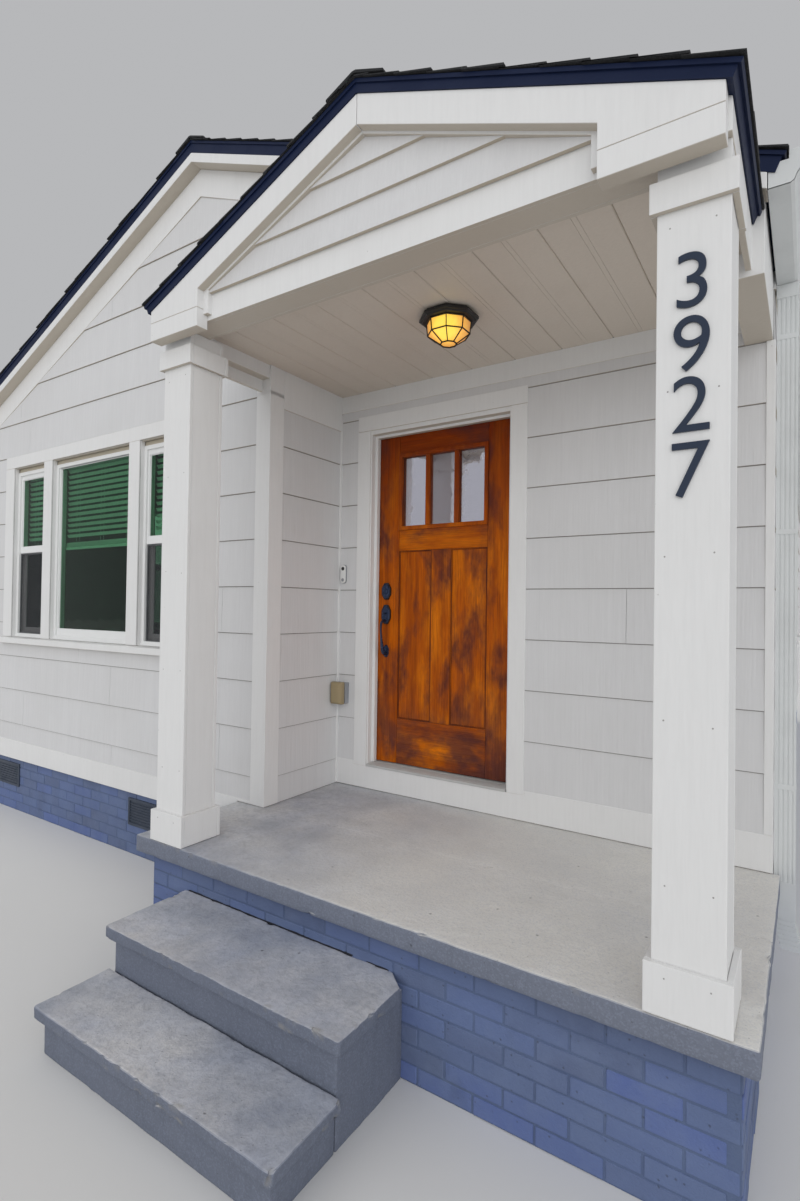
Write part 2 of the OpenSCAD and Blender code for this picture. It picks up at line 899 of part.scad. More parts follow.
module door_leaf() {
    bore = pin_r + pin_gap;
    top = door_h - lite_top;
    color([0.55, 0.26, 0.1]) difference() {
        union() {
            translate([door_x, entry_y + door_face, door_z]) {
                box([-door_w / 2, 0, 0], [door_w / 2, door_t, door_h]);
                box([-glazing_w / 2, -glazing_out, top + glazing_rim - glazing_h],
                    [glazing_w / 2, 0, top + glazing_rim]);
            }
            for (h = hinge_levels) translate([0, 0, door_z + h - leaf_knuckle / 2]) {
                translate([hinge_x, hinge_y, 0]) cylinder(r = knuckle_r, h = leaf_knuckle);
                box([hinge_x - plate_reach, entry_y + wall_t - 1, 0],
                    [hinge_x - plate_in, entry_y + wall_t + plate_t, leaf_knuckle]);
            }
        }
        for (h = hinge_levels) translate([hinge_x, hinge_y, door_z + h - hinge_h])
            cylinder(r = bore, h = 2 * hinge_h);
        translate([door_x, entry_y + door_face, door_z]) {
            for (i = [0:2]) box([lite_x(i) - lite_w / 2, -glazing_out - 1, top - lite_h],
                [lite_x(i) + lite_w / 2, door_t + 1, top]);
            for (s = [-1, 1]) {
                a = s * panel_gap / 2;
                b = s * (panel_gap / 2 + panel_w);
                box([min(a, b), -1, panel_z], [max(a, b), panel_sunk, panel_z + panel_h]);
                box([min(a, b), door_t - panel_sunk, panel_z],
                    [max(a, b), door_t + 1, panel_z + panel_h]);
            }
        }
    }
}

module door_glass() {
    y0 = entry_y + door_face + (door_t - pane_t) / 2;
    top = door_z + door_h - lite_top;
    color([0.6, 0.7, 0.75]) for (i = [0:2]) translate([door_x + lite_x(i), y0, top - lite_h])
        box([-lite_w / 2, 0, 0], [lite_w / 2, pane_t, lite_h]);
}

// Handle set: street-side plate with a grip and thumb latch, and the knob inside
module door_handle() {
    x = door_x - door_w / 2 + lock_in;
    y = entry_y + door_face;
    g = grip_w / 2;
    top = handle_z - grip_high;
    low = handle_z - grip_low;
    color([0.1, 0.09, 0.09]) {
        union() {
            box([x - lock_plate_w / 2, y - lock_plate_t, handle_z - lock_plate_h / 2],
                [x + lock_plate_w / 2, y, handle_z + lock_plate_h / 2]);
            box([x - g, y - grip_out, top - grip_w], [x + g, y - lock_plate_t + 1, top]);
            box([x - g, y - grip_out, low], [x + g, y - grip_out + grip_t, top]);
            box([x - g, y - grip_out, low], [x + g, y, low + grip_t]);
            box([x - foot_plate_w / 2, y - foot_plate_t, low - foot_plate_drop],
                [x + foot_plate_w / 2, y, low - foot_plate_drop + foot_plate_h]);
            box([x - latch_w / 2, y - latch_out, handle_z],
                [x + latch_w / 2, y - lock_plate_t + 1, handle_z + latch_t]);
        }
        translate([x, entry_y + wall_t, handle_z]) rotate([-90, 0, 0]) union() {
            cylinder(r = rose_r, h = rose_t);
            cylinder(r = spindle_r, h = spindle_h);
            translate([0, 0, spindle_h]) cylinder(r = knob_r, h = knob_h);
        }
    }
}

module deadbolt() {
    x = door_x - door_w / 2 + lock_in;
    color([0.1, 0.09, 0.09]) {
        union() {
            box([x - bolt_plate_w / 2, entry_y + door_face - bolt_t, bolt_z - bolt_plate_h / 2],
                [x + bolt_plate_w / 2, entry_y + door_face, bolt_z + bolt_plate_h / 2]);
            translate([x, entry_y + door_face, bolt_z]) rotate([90, 0, 0])
                cylinder(r = bolt_key_r, h = bolt_key_h);
        }
        translate([x, entry_y + wall_t, bolt_z]) rotate([-90, 0, 0]) union() {
            cylinder(r = bolt_r, h = bolt_t);
            translate([-turn_w / 2, -turn_h / 2, bolt_t - 1]) cube([turn_w, turn_h, turn_t]);
        }
    }
}

// Window unit in an opening: frame, and two sashes or one fixed light
module window_openings(w, h, fixed, y0, y1) {
    inn = w / 2 - pane_side;
    if (fixed) box([-inn, y0, fixed_foot], [inn, y1, h - fixed_head]);
    else {
        box([-inn, y0, rail_z + rail_h / 2], [inn, y1, h - sash_head]);
        box([-inn, y0, sash_foot], [inn, y1, rail_z - rail_h / 2]);
    }
}

module window_frame(w, h, fixed) {
    difference() {
        box([-w / 2, frame_in, 0], [w / 2, frame_in + frame_d, h]);
        window_openings(w, h, fixed, 0, wall_t);
    }
}

module window_panes(w, h, fixed) {
    y0 = frame_in + frame_d / 2;
    window_openings(w, h, fixed, y0, y0 + glass_t);
}

// Place something in each of the three front openings, telling which one is fixed
module each_front() {
    for (i = [0:2]) {
        $fixed = i == 1;
        $w = window_spots[i][1] - window_spots[i][0];
        translate([(window_spots[i][0] + window_spots[i][1]) / 2, wing_y, window_z]) children();
    }
}

module each_side() {
    for (y = left_wins) translate([-half_w, wing_y + y, window_z]) rotate([0, 0, -90]) children();
    for (y = right_wins) translate([half_w, wing_y + y, window_z]) rotate([0, 0, 90]) children();
    for (x = back_wins) translate([x, back_y, window_z]) rotate([0, 0, 180]) children();
}

module window_frames() {
    color([0.96, 0.96, 0.95]) {
        each_front() window_frame($w, window_h, $fixed);
        each_side() window_frame(side_win_w, window_h, false);
    }
}

module window_glass() {
    color([0.4, 0.5, 0.45]) {
        each_front() window_panes($w, window_h, $fixed);
        each_side() window_panes(side_win_w, window_h, false);
    }
}

// Blinds let half down behind the glass of the front windows
module window_blinds() {
    color([0.9, 0.9, 0.88]) each_front()
        box([-$w / 2 + blind_in, frame_in + frame_d, window_h - blind_drop],
            [$w / 2 - blind_in, frame_in + frame_d + blind_t, window_h - 1]);
}

// Ceiling light: an eight-sided black cap and cage round an amber globe
module ceiling_light() {
    color([0.06, 0.06, 0.06]) translate([light_x, light_y, ceiling_z - light_cap])
        rotate([0, 0, 22.5]) difference() {
            cylinder(r = light_r, h = light_cap, $fn = 8);
            translate([0, 0, -1])
                cylinder(r = light_r - cage_t, h = light_cap - cage_t + 1, $fn = 8);
        }
}

module light_globe() {
    color([1, 0.7, 0.25]) translate([light_x, light_y, ceiling_z - globe_low])
        rotate([0, 0, 22.5]) cylinder(r = globe_r, h = globe_low - cage_t, $fn = 8);
}

module doorbell() {
    color([0.95, 0.95, 0.95]) box([corner_x + bell_in, entry_y - bell_t, bell_z],
        [corner_x + bell_in + bell_w, entry_y, bell_z + bell_h]);
}

module outlet_cover() {
    y = entry_y - outlet_in - outlet_w;
    color([0.62, 0.56, 0.47]) box([corner_x, y, outlet_z],
        [corner_x + outlet_t, y + outlet_w, outlet_z + outlet_h]);
}
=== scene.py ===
"""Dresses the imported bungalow: siding, brick, shingles, joinery, windows, ironmongery and paint."""
import bpy
import bmesh
import math
import random
from mathutils import Matrix, Vector, noise


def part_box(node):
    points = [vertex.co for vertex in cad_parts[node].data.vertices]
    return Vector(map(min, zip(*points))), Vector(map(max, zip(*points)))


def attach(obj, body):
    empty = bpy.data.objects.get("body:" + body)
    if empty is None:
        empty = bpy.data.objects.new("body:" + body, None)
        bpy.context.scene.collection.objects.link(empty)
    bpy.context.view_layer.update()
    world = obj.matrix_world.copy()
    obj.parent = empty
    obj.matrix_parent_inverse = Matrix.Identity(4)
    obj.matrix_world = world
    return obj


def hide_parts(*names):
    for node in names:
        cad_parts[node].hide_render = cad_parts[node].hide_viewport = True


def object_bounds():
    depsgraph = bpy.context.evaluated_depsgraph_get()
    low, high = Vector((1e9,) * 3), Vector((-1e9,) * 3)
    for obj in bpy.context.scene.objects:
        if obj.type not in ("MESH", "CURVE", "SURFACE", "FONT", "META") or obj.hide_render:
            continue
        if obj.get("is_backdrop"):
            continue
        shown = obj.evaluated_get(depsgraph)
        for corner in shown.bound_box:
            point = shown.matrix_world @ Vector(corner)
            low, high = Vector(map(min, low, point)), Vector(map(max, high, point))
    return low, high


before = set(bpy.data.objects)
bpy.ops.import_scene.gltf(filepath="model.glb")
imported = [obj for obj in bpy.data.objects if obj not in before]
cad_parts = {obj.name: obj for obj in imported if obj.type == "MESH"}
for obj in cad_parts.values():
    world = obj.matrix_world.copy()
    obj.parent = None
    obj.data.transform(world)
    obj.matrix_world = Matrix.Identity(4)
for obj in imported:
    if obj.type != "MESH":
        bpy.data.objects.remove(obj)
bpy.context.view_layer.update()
scene = bpy.context.scene
# Without a seed of its own, Blender draws the wear of slab and steps anew each run
WEAR_SEED = 7
noise.seed_set(WEAR_SEED)

# Levels and lines of the house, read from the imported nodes
LEFT_X, HALF_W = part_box("left_wall")[0].x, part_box("right_wall")[1].x
WING_Y, CORNER_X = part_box("wing_wall")[0].y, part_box("wing_wall")[1].x
ENTRY_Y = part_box("entry_wall_left")[0].y
BACK_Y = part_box("back_wall")[1].y
FOUND_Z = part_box("wing_wall")[0].z
SLAB_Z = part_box("porch_slab")[1].z
CEILING_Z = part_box("porch_ceiling")[0].z
RIDGE_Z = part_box("roof_left")[1].z
PORCH_X = (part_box("porch_roof")[0].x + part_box("porch_roof")[1].x) / 2
PORCH_RIDGE_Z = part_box("porch_roof")[1].z
SLOPE = 5 / 12
ROOF_T, PORCH_ROOF_T, EAVE_OUT = 0.093, 0.07, 0.07
TRIM_OUT = 0.010
TRIM_TOP = FOUND_Z + 0.147
CORNER_W = 0.1
EXPOSURE = 0.2692
LAP_Z = SLAB_Z + 0.692
FRIEZE_DROP = 0.32

UP = Vector((0, 0, 1))


# Making pieces

def cube(bm, place):
    """Unit cube laid by a matrix."""
    return bmesh.ops.create_cube(bm, size=1, matrix=place)["verts"]


def block(bm, low, high):
    """Box between two corners."""
    low, high = Vector(low), Vector(high)
    return cube(bm, Matrix.Translation((low + high) / 2) @ Matrix.Diagonal((*(high - low), 1)))


def mark_faces(verts, layer, value):
    """Give the faces at some corners a value of their own."""
    for face in {f for v in verts for f in v.link_faces}:
        face[layer] = value


def cut(bm, at, normal, clear=True, dist=0.0):
    """Cut through a mesh, and take away what lies beyond the plane."""
    bmesh.ops.bisect_plane(bm, geom=bm.verts[:] + bm.edges[:] + bm.faces[:], dist=dist,
                           plane_co=at, plane_no=normal, clear_outer=clear)
    if clear:
        bmesh.ops.holes_fill(bm, edges=[e for e in bm.edges if e.is_boundary], sides=0)


def cut_up(bm, axis, low, high, count):
    """Cut a mesh across one axis into equal lengths, which stay joined."""
    normal = Vector([float(i == axis) for i in range(3)])
    for i in range(1, count):
        cut(bm, normal * (low + (high - low) * i / count), normal, clear=False)


def push(bm, faces, edges, shift):
    """Extrude faces or edges by a shift, and give the new corners."""
    if faces:
        grown = bmesh.ops.extrude_face_region(bm, geom=faces)["geom"]
    else:
        grown = bmesh.ops.extrude_edge_only(bm, edges=edges)["geom"]
    fresh = [g for g in grown if isinstance(g, bmesh.types.BMVert)]
    bmesh.ops.translate(bm, vec=shift, verts=fresh)
    return fresh


def merge(bm, part):
    """Add a finished part to a mesh."""
    scratch = bpy.data.meshes.new("scratch")
    part.to_mesh(scratch)
    part.free()
    bm.from_mesh(scratch)
    bpy.data.meshes.remove(scratch)


def mend_normals(bm):
    bmesh.ops.recalc_face_normals(bm, faces=bm.faces[:])


def round_edges(bm, width, segments=1, edges=None):
    """Bevel the given edges, or every edge that isn't flat."""
    if edges is None:
        edges = [e for e in bm.edges if len(e.link_faces) == 2 and e.calc_face_angle(0) > 0.3]
    bmesh.ops.bevel(bm, geom=edges, offset=width, offset_type="OFFSET", segments=segments,
                    profile=0.5, affect="EDGES", material=-1, clamp_overlap=True)


def piece(name, bm, material, body="house", replaces=(), smooth=False, ease=0.0, segments=1):
    """Turn a bmesh into a piece that rides on a body, with its edges eased if asked."""
    if ease:
        mend_normals(bm)
        round_edges(bm, ease, segments)
    mesh = bpy.data.meshes.new(name)
    mend_normals(bm)
    bm.to_mesh(mesh)
    bm.free()
    mesh.materials.append(material)
    if smooth:
        mesh.shade_smooth()
        mesh.set_sharp_from_angle(angle=math.radians(35))
    made = bpy.data.objects.new(name, mesh)
    scene.collection.objects.link(made)
    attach(made, body)
    if replaces:
        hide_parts(*replaces)
    return made


def wall_frame(origin, along, outward):
    """Matrix from wall places (along, out of the wall, up) to the house."""
    along, outward = Vector(along), Vector(outward)
    turn = Matrix((along, outward, UP)).transposed().to_4x4()
    return Matrix.Translation(origin) @ turn


def to_street(y, x=0, z=0):
    """Frame of a face that looks to the street."""
    return wall_frame((x, y, z), (1, 0, 0), (0, -1, 0))


def to_side(x, side):
    """Frame of a face that looks to the left (-1) or to the right (1)."""
    return wall_frame((x, 0, 0), (0, 1, 0), (side, 0, 0))


def to_back(y):
    """Frame of a face that looks away from the street."""
    return wall_frame((0, y, 0), (1, 0, 0), (0, 1, 0))


FRONT, ENTRY, BACK = to_street(WING_Y), to_street(ENTRY_Y), to_back(BACK_Y)
LEFT, RIGHT, RETURN = to_side(LEFT_X, -1), to_side(HALF_W, 1), to_side(CORNER_X, 1)


def wall_block(bm, wall, low, high):
    """Box on a wall, given as (along, out, up)."""
    verts = block(bm, low, high)
    bmesh.ops.transform(bm, matrix=wall, verts=verts)
    return verts


# Finishes

def add(tree, kind, **values):
    """Add a node, setting its properties or its inputs by name."""
    made = tree.nodes.new(kind)
    for key, value in values.items():
        if hasattr(made, key):
            setattr(made, key, value)
        else:
            made.inputs[key.replace("_", " ")].default_value = value
    return made


def new_effect(name, inputs, outputs):
    """Start a node group with named sockets."""
    tree = bpy.data.node_groups.new(name, "ShaderNodeTree")
    for label, kind, value in inputs:
        made = tree.interface.new_socket(name=label, in_out="INPUT", socket_type=kind)
        if value is not None:
            made.default_value = value
    for label, kind in outputs:
        tree.interface.new_socket(name=label, in_out="OUTPUT", socket_type=kind)
    return tree, tree.nodes.new("NodeGroupInput"), tree.nodes.new("NodeGroupOutput")


FLOAT, VECTOR = "NodeSocketFloat", "NodeSocketVector"


def wire(tree, *ends):
    """Join outputs to inputs, each given as (node, output, node, input)."""
    for source, output, target, socket in ends:
        tree.links.new(source.outputs[output], target.inputs[socket])


def mottle_effect():
    """Cloudy patches, between two levels of a noise that may be stretched along the axes."""
    tree, start, end = new_effect("mottle", [
        ("Vector", VECTOR, None), ("Stretch", VECTOR, (1, 1, 1)), ("Scale", FLOAT, 1.0),
        ("Detail", FLOAT, 4.0), ("Low", FLOAT, 0.35), ("High", FLOAT, 0.65)], [("Mask", FLOAT)])
    scaled = add(tree, "ShaderNodeVectorMath", operation="MULTIPLY")
    cloud = add(tree, "ShaderNodeTexNoise", Roughness=0.6)
    level = add(tree, "ShaderNodeMapRange", clamp=True)
    wire(tree, (start, "Vector", scaled, 0), (start, "Stretch", scaled, 1),
         (scaled, 0, cloud, "Vector"), (start, "Scale", cloud, "Scale"),
         (start, "Detail", cloud, "Detail"), (cloud, 0, level, "Value"),
         (start, "Low", level, "From Min"), (start, "High", level, "From Max"),
         (level, 0, end, "Mask"))
    return tree


def pit_effect():
    """Small round pits or specks, one a cell, where the cell's own chance allows."""
    tree, start, end = new_effect("pits", [
        ("Vector", VECTOR, None), ("Scale", FLOAT, 60.0), ("Size", FLOAT, 0.25),
        ("Share", FLOAT, 0.3)], [("Mask", FLOAT)])
    cells = add(tree, "ShaderNodeTexVoronoi")
    edge = add(tree, "ShaderNodeMapRange", clamp=True, From_Min=0.0, To_Min=1.0, To_Max=0.0)
    split = add(tree, "ShaderNodeSeparateColor")
    chance = add(tree, "ShaderNodeMath", operation="LESS_THAN")
    both = add(tree, "ShaderNodeMath", operation="MULTIPLY")
    wire(tree, (start, "Vector", cells, "Vector"), (start, "Scale", cells, "Scale"),
         (cells, "Distance", edge, "Value"), (start, "Size", edge, "From Max"),
         (cells, "Color", split, 0), (split, 0, chance, 0), (start, "Share", chance, 1),
         (edge, 0, both, 0), (chance, 0, both, 1), (both, 0, end, "Mask"))
    return tree


MOTTLE = mottle_effect()
PITS = pit_effect()


class Finish:
    """A material that is built up from the shared effects."""

    def __init__(self, name, color, roughness, **sockets):
        self.material = bpy.data.materials.new(name)
        self.material.use_nodes = True
        self.tree = self.material.node_tree
        self.link = self.tree.links.new
        self.shader = self.tree.nodes["Principled BSDF"]
        self.place = add(self.tree, "ShaderNodeTexCoord").outputs["Object"]
        self.color = None
        self.base = (*color, 1)
        self.height = None
        self.shader.inputs["Base Color"].default_value = self.base
        self.shader.inputs["Roughness"].default_value = roughness
        self.roughness = roughness
        for key, value in sockets.items():
            self.shader.inputs[key.replace("_", " ")].default_value = value

    def turn(self, rotation):
        """Turn the places that the effects after this one read."""
        mapped = add(self.tree, "ShaderNodeMapping", Rotation=rotation)
        self.link(self.place, mapped.inputs["Vector"])
        self.place = mapped.outputs[0]

    def shift_by_board(self, attribute):
        """Move the pattern by a number that each board carries, so that no two match."""
        read = add(self.tree, "ShaderNodeAttribute", attribute_name=attribute)
        moved = add(self.tree, "ShaderNodeVectorMath", operation="ADD")
        self.link(self.place, moved.inputs[0])
        self.link(read.outputs["Fac"], moved.inputs[1])
        self.place = moved.outputs[0]

    def between(self, source, axis, low, high):
        """Mask that grows from one value to another of one part of a vector."""
        split = add(self.tree, "ShaderNodeSeparateXYZ")
        level = add(self.tree, "ShaderNodeMapRange", clamp=True, From_Min=low, From_Max=high)
        self.link(source, split.inputs[0])
        self.link(split.outputs[axis], level.inputs["Value"])
        return level.outputs[0]

    def upwards(self, low, high):
        """Mask that grows from one height to another."""
        return self.between(self.place, 2, low, high)

    def facing(self, low, high):
        """Mask by how far a face looks up (1) or down (-1)."""
        normal = add(self.tree, "ShaderNodeNewGeometry").outputs["True Normal"]
        return self.between(normal, 2, low, high)

    def marked(self, attribute):
        """Mask that the points of a piece carry."""
        return add(self.tree, "ShaderNodeAttribute", attribute_name=attribute).outputs["Fac"]

    def effect(self, group, **values):
        made = add(self.tree, "ShaderNodeGroup")
        made.node_tree = group
        for key, value in values.items():
            made.inputs[key].default_value = value
        self.link(self.place, made.inputs["Vector"])
        return made.outputs["Mask"]

    def mottle(self, scale, low=0.35, high=0.65, stretch=(1, 1, 1), detail=4.0):
        return self.effect(MOTTLE, Scale=scale, Low=low, High=high, Stretch=stretch, Detail=detail)

    def pits(self, scale, size, share):
        return self.effect(PITS, Scale=scale, Size=size, Share=share)

    def joined(self, operation, one, other):
        """Two masks, or a mask and a number, put together."""
        made = add(self.tree, "ShaderNodeMath", operation=operation)
        self.link(one, made.inputs[0])
        if isinstance(other, (int, float)):
            made.inputs[1].default_value = other
        else:
            self.link(other, made.inputs[1])
        return made.outputs[0]

    def times(self, one, other):
        return self.joined("MULTIPLY", one, other)

    def tint(self, color, mask, amount=1.0):
        """Lay a colour over what is there, by a mask."""
        made = add(self.tree, "ShaderNodeMix", data_type="RGBA")
        if self.color is None:
            made.inputs[6].default_value = self.base
        else:
            self.link(self.color, made.inputs[6])
        made.inputs[7].default_value = (*color, 1)
        self.link(self.times(mask, amount), made.inputs[0])
        self.color = made.outputs[2]

    def tint_by_piece(self, attribute, colors):
        """Give each board or brick its own tone, from an attribute of its faces."""
        read = add(self.tree, "ShaderNodeAttribute", attribute_name=attribute)
        ramp = add(self.tree, "ShaderNodeValToRGB")
        ramp.color_ramp.elements[0].color = (*colors[0], 1)
        ramp.color_ramp.elements[1].color = (*colors[-1], 1)
        for i, c in enumerate(colors[1:-1]):
            ramp.color_ramp.elements.new((i + 1) / (len(colors) - 1)).color = (*c, 1)
        self.link(read.outputs["Fac"], ramp.inputs[0])
        self.color = ramp.outputs[0]

    def relief(self, mask, depth):
        """Raise (or, with a negative depth, sink) the surface by a mask, in metres."""
        raised = self.times(mask, depth)
        self.height = raised if self.height is None else self.joined("ADD", self.height, raised)
        return self

    def dull(self, mask, rough):
        """Bring the roughness to another value, by a mask."""
        made = add(self.tree, "ShaderNodeMix", data_type="FLOAT")
        made.inputs[2].default_value = self.roughness
        made.inputs[3].default_value = rough
        self.link(mask, made.inputs[0])
        self.link(made.outputs[0], self.shader.inputs["Roughness"])

    def done(self):
        if self.color is not None:
            self.link(self.color, self.shader.inputs["Base Color"])
        if self.height is not None:
            bump = add(self.tree, "ShaderNodeBump", Strength=1.0, Distance=1.0)
            self.link(self.height, bump.inputs["Height"])
            self.link(bump.outputs[0], self.shader.inputs["Normal"])
        return self.material


# Warm tan laid on faces that look down: painted shade and bounce light from the ground
PAINTED_UNDERSIDE_SHADE = (0.50, 0.435, 0.345)
SKYWARD, DOWNWARD = (0.55, 0.92), (-0.45, -0.85)


def toned(color, *parts):
    """A colour made lighter or darker, by one number or by one for each part."""
    return [c * k for c, k in zip(color, parts * 3)]


def siding_paint(name, color):
    """White paint over boards with an upright grain, a little dusty, with painted shade on faces that
    look down.
    """
    f = Finish(name, color, 0.5)
    grain = f.mottle(1, 0.35, 0.7, stretch=(95, 95, 2.2), detail=3)
    broad = f.mottle(1, 0.35, 0.7, stretch=(14, 14, 0.8), detail=3)
    dust = f.mottle(1.3, 0.42, 0.8)
    f.tint(toned(color, 0.90), grain, 0.45)
    f.tint(toned(color, 0.93), broad, 0.5)
    f.tint(toned(color, 0.84, 0.83, 0.81), dust, 0.35)
    f.tint(PAINTED_UNDERSIDE_SHADE, f.facing(*DOWNWARD))
    f.relief(grain, 0.0006).relief(broad, 0.0006)
    f.dull(grain, 0.62)
    return f.done()


def trim_paint(name, color, dirt=0.3, shade=0.85):
    """Smooth white paint with faint brush marks, specks and grime, and painted shade on faces that
    look down.
    """
    f = Finish(name, color, 0.42)
    brush = f.mottle(1, 0.4, 0.65, stretch=(60, 60, 5), detail=2)
    dust = f.mottle(2.2, 0.5, 0.85)
    specks = f.pits(9, 0.03, 0.25)
    f.tint(toned(color, 0.94), brush, 0.35)
    f.tint(toned(color, 0.8, 0.79, 0.77), dust, dirt)
    f.tint((0.25, 0.23, 0.2), specks, 0.6)
    f.tint(PAINTED_UNDERSIDE_SHADE, f.facing(*DOWNWARD), shade)
    f.relief(brush, 0.0003)
    f.dull(dust, 0.55)
    return f.done()


def brick_paint(name, color, tones=None):
    """Slate blue paint over brick, chalky, with damp and worn patches, darker towards the top with
    grime and painted shade under the slab's edge.
    """
    f = Finish(name, color, 0.72)
    if tones:
        f.tint_by_piece("tone", [toned(color, *tone) for tone in tones])
    chalk = f.mottle(9, 0.4, 0.75, detail=6)
    wide = f.mottle(2.0, 0.4, 0.68, detail=5)
    damp = f.mottle(3.1, 0.56, 0.7, stretch=(1, 1, 0.6), detail=6)
    grit = f.mottle(140, 0.35, 0.7, detail=3)
    pores = f.pits(48, 0.22, 0.2)
    f.tint(toned(color, 1.45, 1.38, 1.2), chalk, 0.5)
    f.tint(toned(color, 1.2, 1.22, 1.28), wide, 0.5)
    f.tint(toned(color, 0.55, 0.58, 0.62), damp, 0.6)
    # Darker towards the top: grime, and painted shade under the slab's edge
    f.tint(toned(color, 0.5), f.upwards(0.36, 0.475), 0.55)
    f.tint((0.05, 0.055, 0.07), pores, 0.7)
    f.relief(grit, 0.0007).relief(chalk, 0.001).relief(pores, -0.002)
    f.dull(damp, 0.5)
    return f.done()


def concrete_paint(name, color, worn, wear, spread, fade=None):
    """Grey blue paint, lighter on upward faces as painted light, worn to bare concrete where it is
    walked on, with chipped edges.
    """
    f = Finish(name, color, 0.72)
    top = f.facing(*SKYWARD)
    patch = f.mottle(0.95, *spread, detail=6)
    scuff = f.mottle(6, 0.44, 0.72, detail=9)
    fine = f.mottle(60, 0.4, 0.7, detail=4)
    speckle = f.mottle(170, 0.5, 0.64, detail=2)
    stain = f.mottle(3.1, 0.52, 0.75, detail=7)
    streak = f.mottle(1, 0.5, 0.72, stretch=(26, 26, 3), detail=4)
    pores = f.pits(70, 0.2, 0.16)
    holes = f.pits(16, 0.1, 0.14)
    # Upward faces made lighter: painted light from above
    f.tint(toned(color, 1.75), top, 0.85)
    f.tint(worn, f.times(patch, top), wear)
    f.tint(toned(worn, 1.25), f.times(scuff, f.times(patch, top)), 0.45)
    f.tint(toned(color, 2.4), f.times(scuff, top), 0.45)
    f.tint(toned(color, 0.7), stain, 0.3)
    f.tint(toned(color, 0.62), streak, 0.22)
    f.tint(toned(color, 0.8), fine, 0.2)
    if fade:
        f.tint(worn, f.times(f.between(f.place, 0, *fade), top), 0.68)
    f.tint([min(c * 1.9, 0.6) for c in color], speckle, 0.22)
    f.tint((0.30, 0.29, 0.27), f.marked("chip"), 0.6)
    f.tint((0.07, 0.075, 0.08), pores, 0.55)
    f.tint((0.06, 0.065, 0.07), holes, 0.7)
    f.relief(fine, 0.0011).relief(scuff, 0.0012).relief(pores, -0.002).relief(holes, -0.004)
    f.dull(scuff, 0.85)
    return f.done()


def shingle_finish(name):
    """Black granules with a spread of greys from tab to tab."""
    f = Finish(name, (0.02, 0.021, 0.024), 0.88)
    f.tint_by_piece("tone", [(0.010, 0.011, 0.013), (0.022, 0.023, 0.027),
                             (0.034, 0.035, 0.038)])
    granules = f.mottle(420, 0.45, 0.62, detail=2)
    drift = f.mottle(1.7, 0.4, 0.75)
    f.tint((0.10, 0.10, 0.105), granules, 0.4)
    f.tint((0.06, 0.058, 0.052), drift, 0.25)
    f.relief(granules, 0.0012)
    return f.done()


def door_wood(name, level=False, cloudy=0.85, edge=0.0):
    """Stained and varnished boards: orange with dark, cloudy bands, and deep red towards the head,
    partly as painted shade under the door head.
    """
    f = Finish(name, (0.56, 0.118, 0.001), 0.34, Specular_IOR_Level=0.14)
    head = f.upwards(LEAF_Z + 1.25, LEAF_Z + 2.0)
    foot = f.upwards(LEAF_Z + 0.50, LEAF_Z + 0.10)
    f.shift_by_board("board")
    if level:
        f.turn((0, math.radians(90), 0))
    ring = f.mottle(1, 0.36, 0.66, stretch=(26, 26, 1.6), detail=5)
    fibre = f.mottle(1, 0.4, 0.66, stretch=(190, 190, 5), detail=3)
    cloud = f.mottle(1, 0.47, 0.66, stretch=(7, 7, 3.0), detail=5)
    glow = f.mottle(1, 0.46, 0.7, stretch=(9, 9, 2.4), detail=4)
    f.tint((0.25, 0.042, 0.002), ring, 0.75)
    f.tint((0.86, 0.235, 0.003), glow, 0.7)
    # Darker deep red towards the head: stain, and painted shade under the door head
    f.tint((0.16, 0.014, 0.001), head, 0.78)
    f.tint((0.085, 0.024, 0.022), cloud, cloudy)
    smoke = f.mottle(1, 0.36, 0.54, stretch=(6, 6, 4), detail=5)
    f.tint((0.10, 0.034, 0.030), f.times(foot, smoke), 0.85)
    f.tint((0.05, 0.012, 0.004), fibre, 0.35)
    # Darker mouldings and beads: stain pooled in the corners, and painted shade along the panel edges
    if edge:
        f.tint((0.06, 0.014, 0.008), f.mottle(30, 0.1, 0.3), edge)
    f.relief(fibre, 0.0004).relief(ring, 0.0004)
    f.dull(cloud, 0.42)
    return f.done()


def metal_paint(name, color, roughness, dirt=0.35, **sockets):
    """Paint, plastic or metal with a little dust and a fine grain."""
    f = Finish(name, color, roughness, **sockets)
    dust = f.mottle(5, 0.45, 0.8)
    fine = f.mottle(90, 0.4, 0.7, detail=3)
    f.tint(toned(color, 0.72), dust, dirt)
    f.relief(fine, 0.0002)
    f.dull(dust, min(roughness + 0.22, 1))
    return f.done()


def clear_glass(name, color, roughness, wavy, bend, **sockets):
    """Glass that is a little uneven."""
    f = Finish(name, color, roughness, Transmission_Weight=1.0, IOR=bend, **sockets)
    f.relief(f.mottle(18, 0.3, 0.7, detail=2), wavy)
    return f.done()


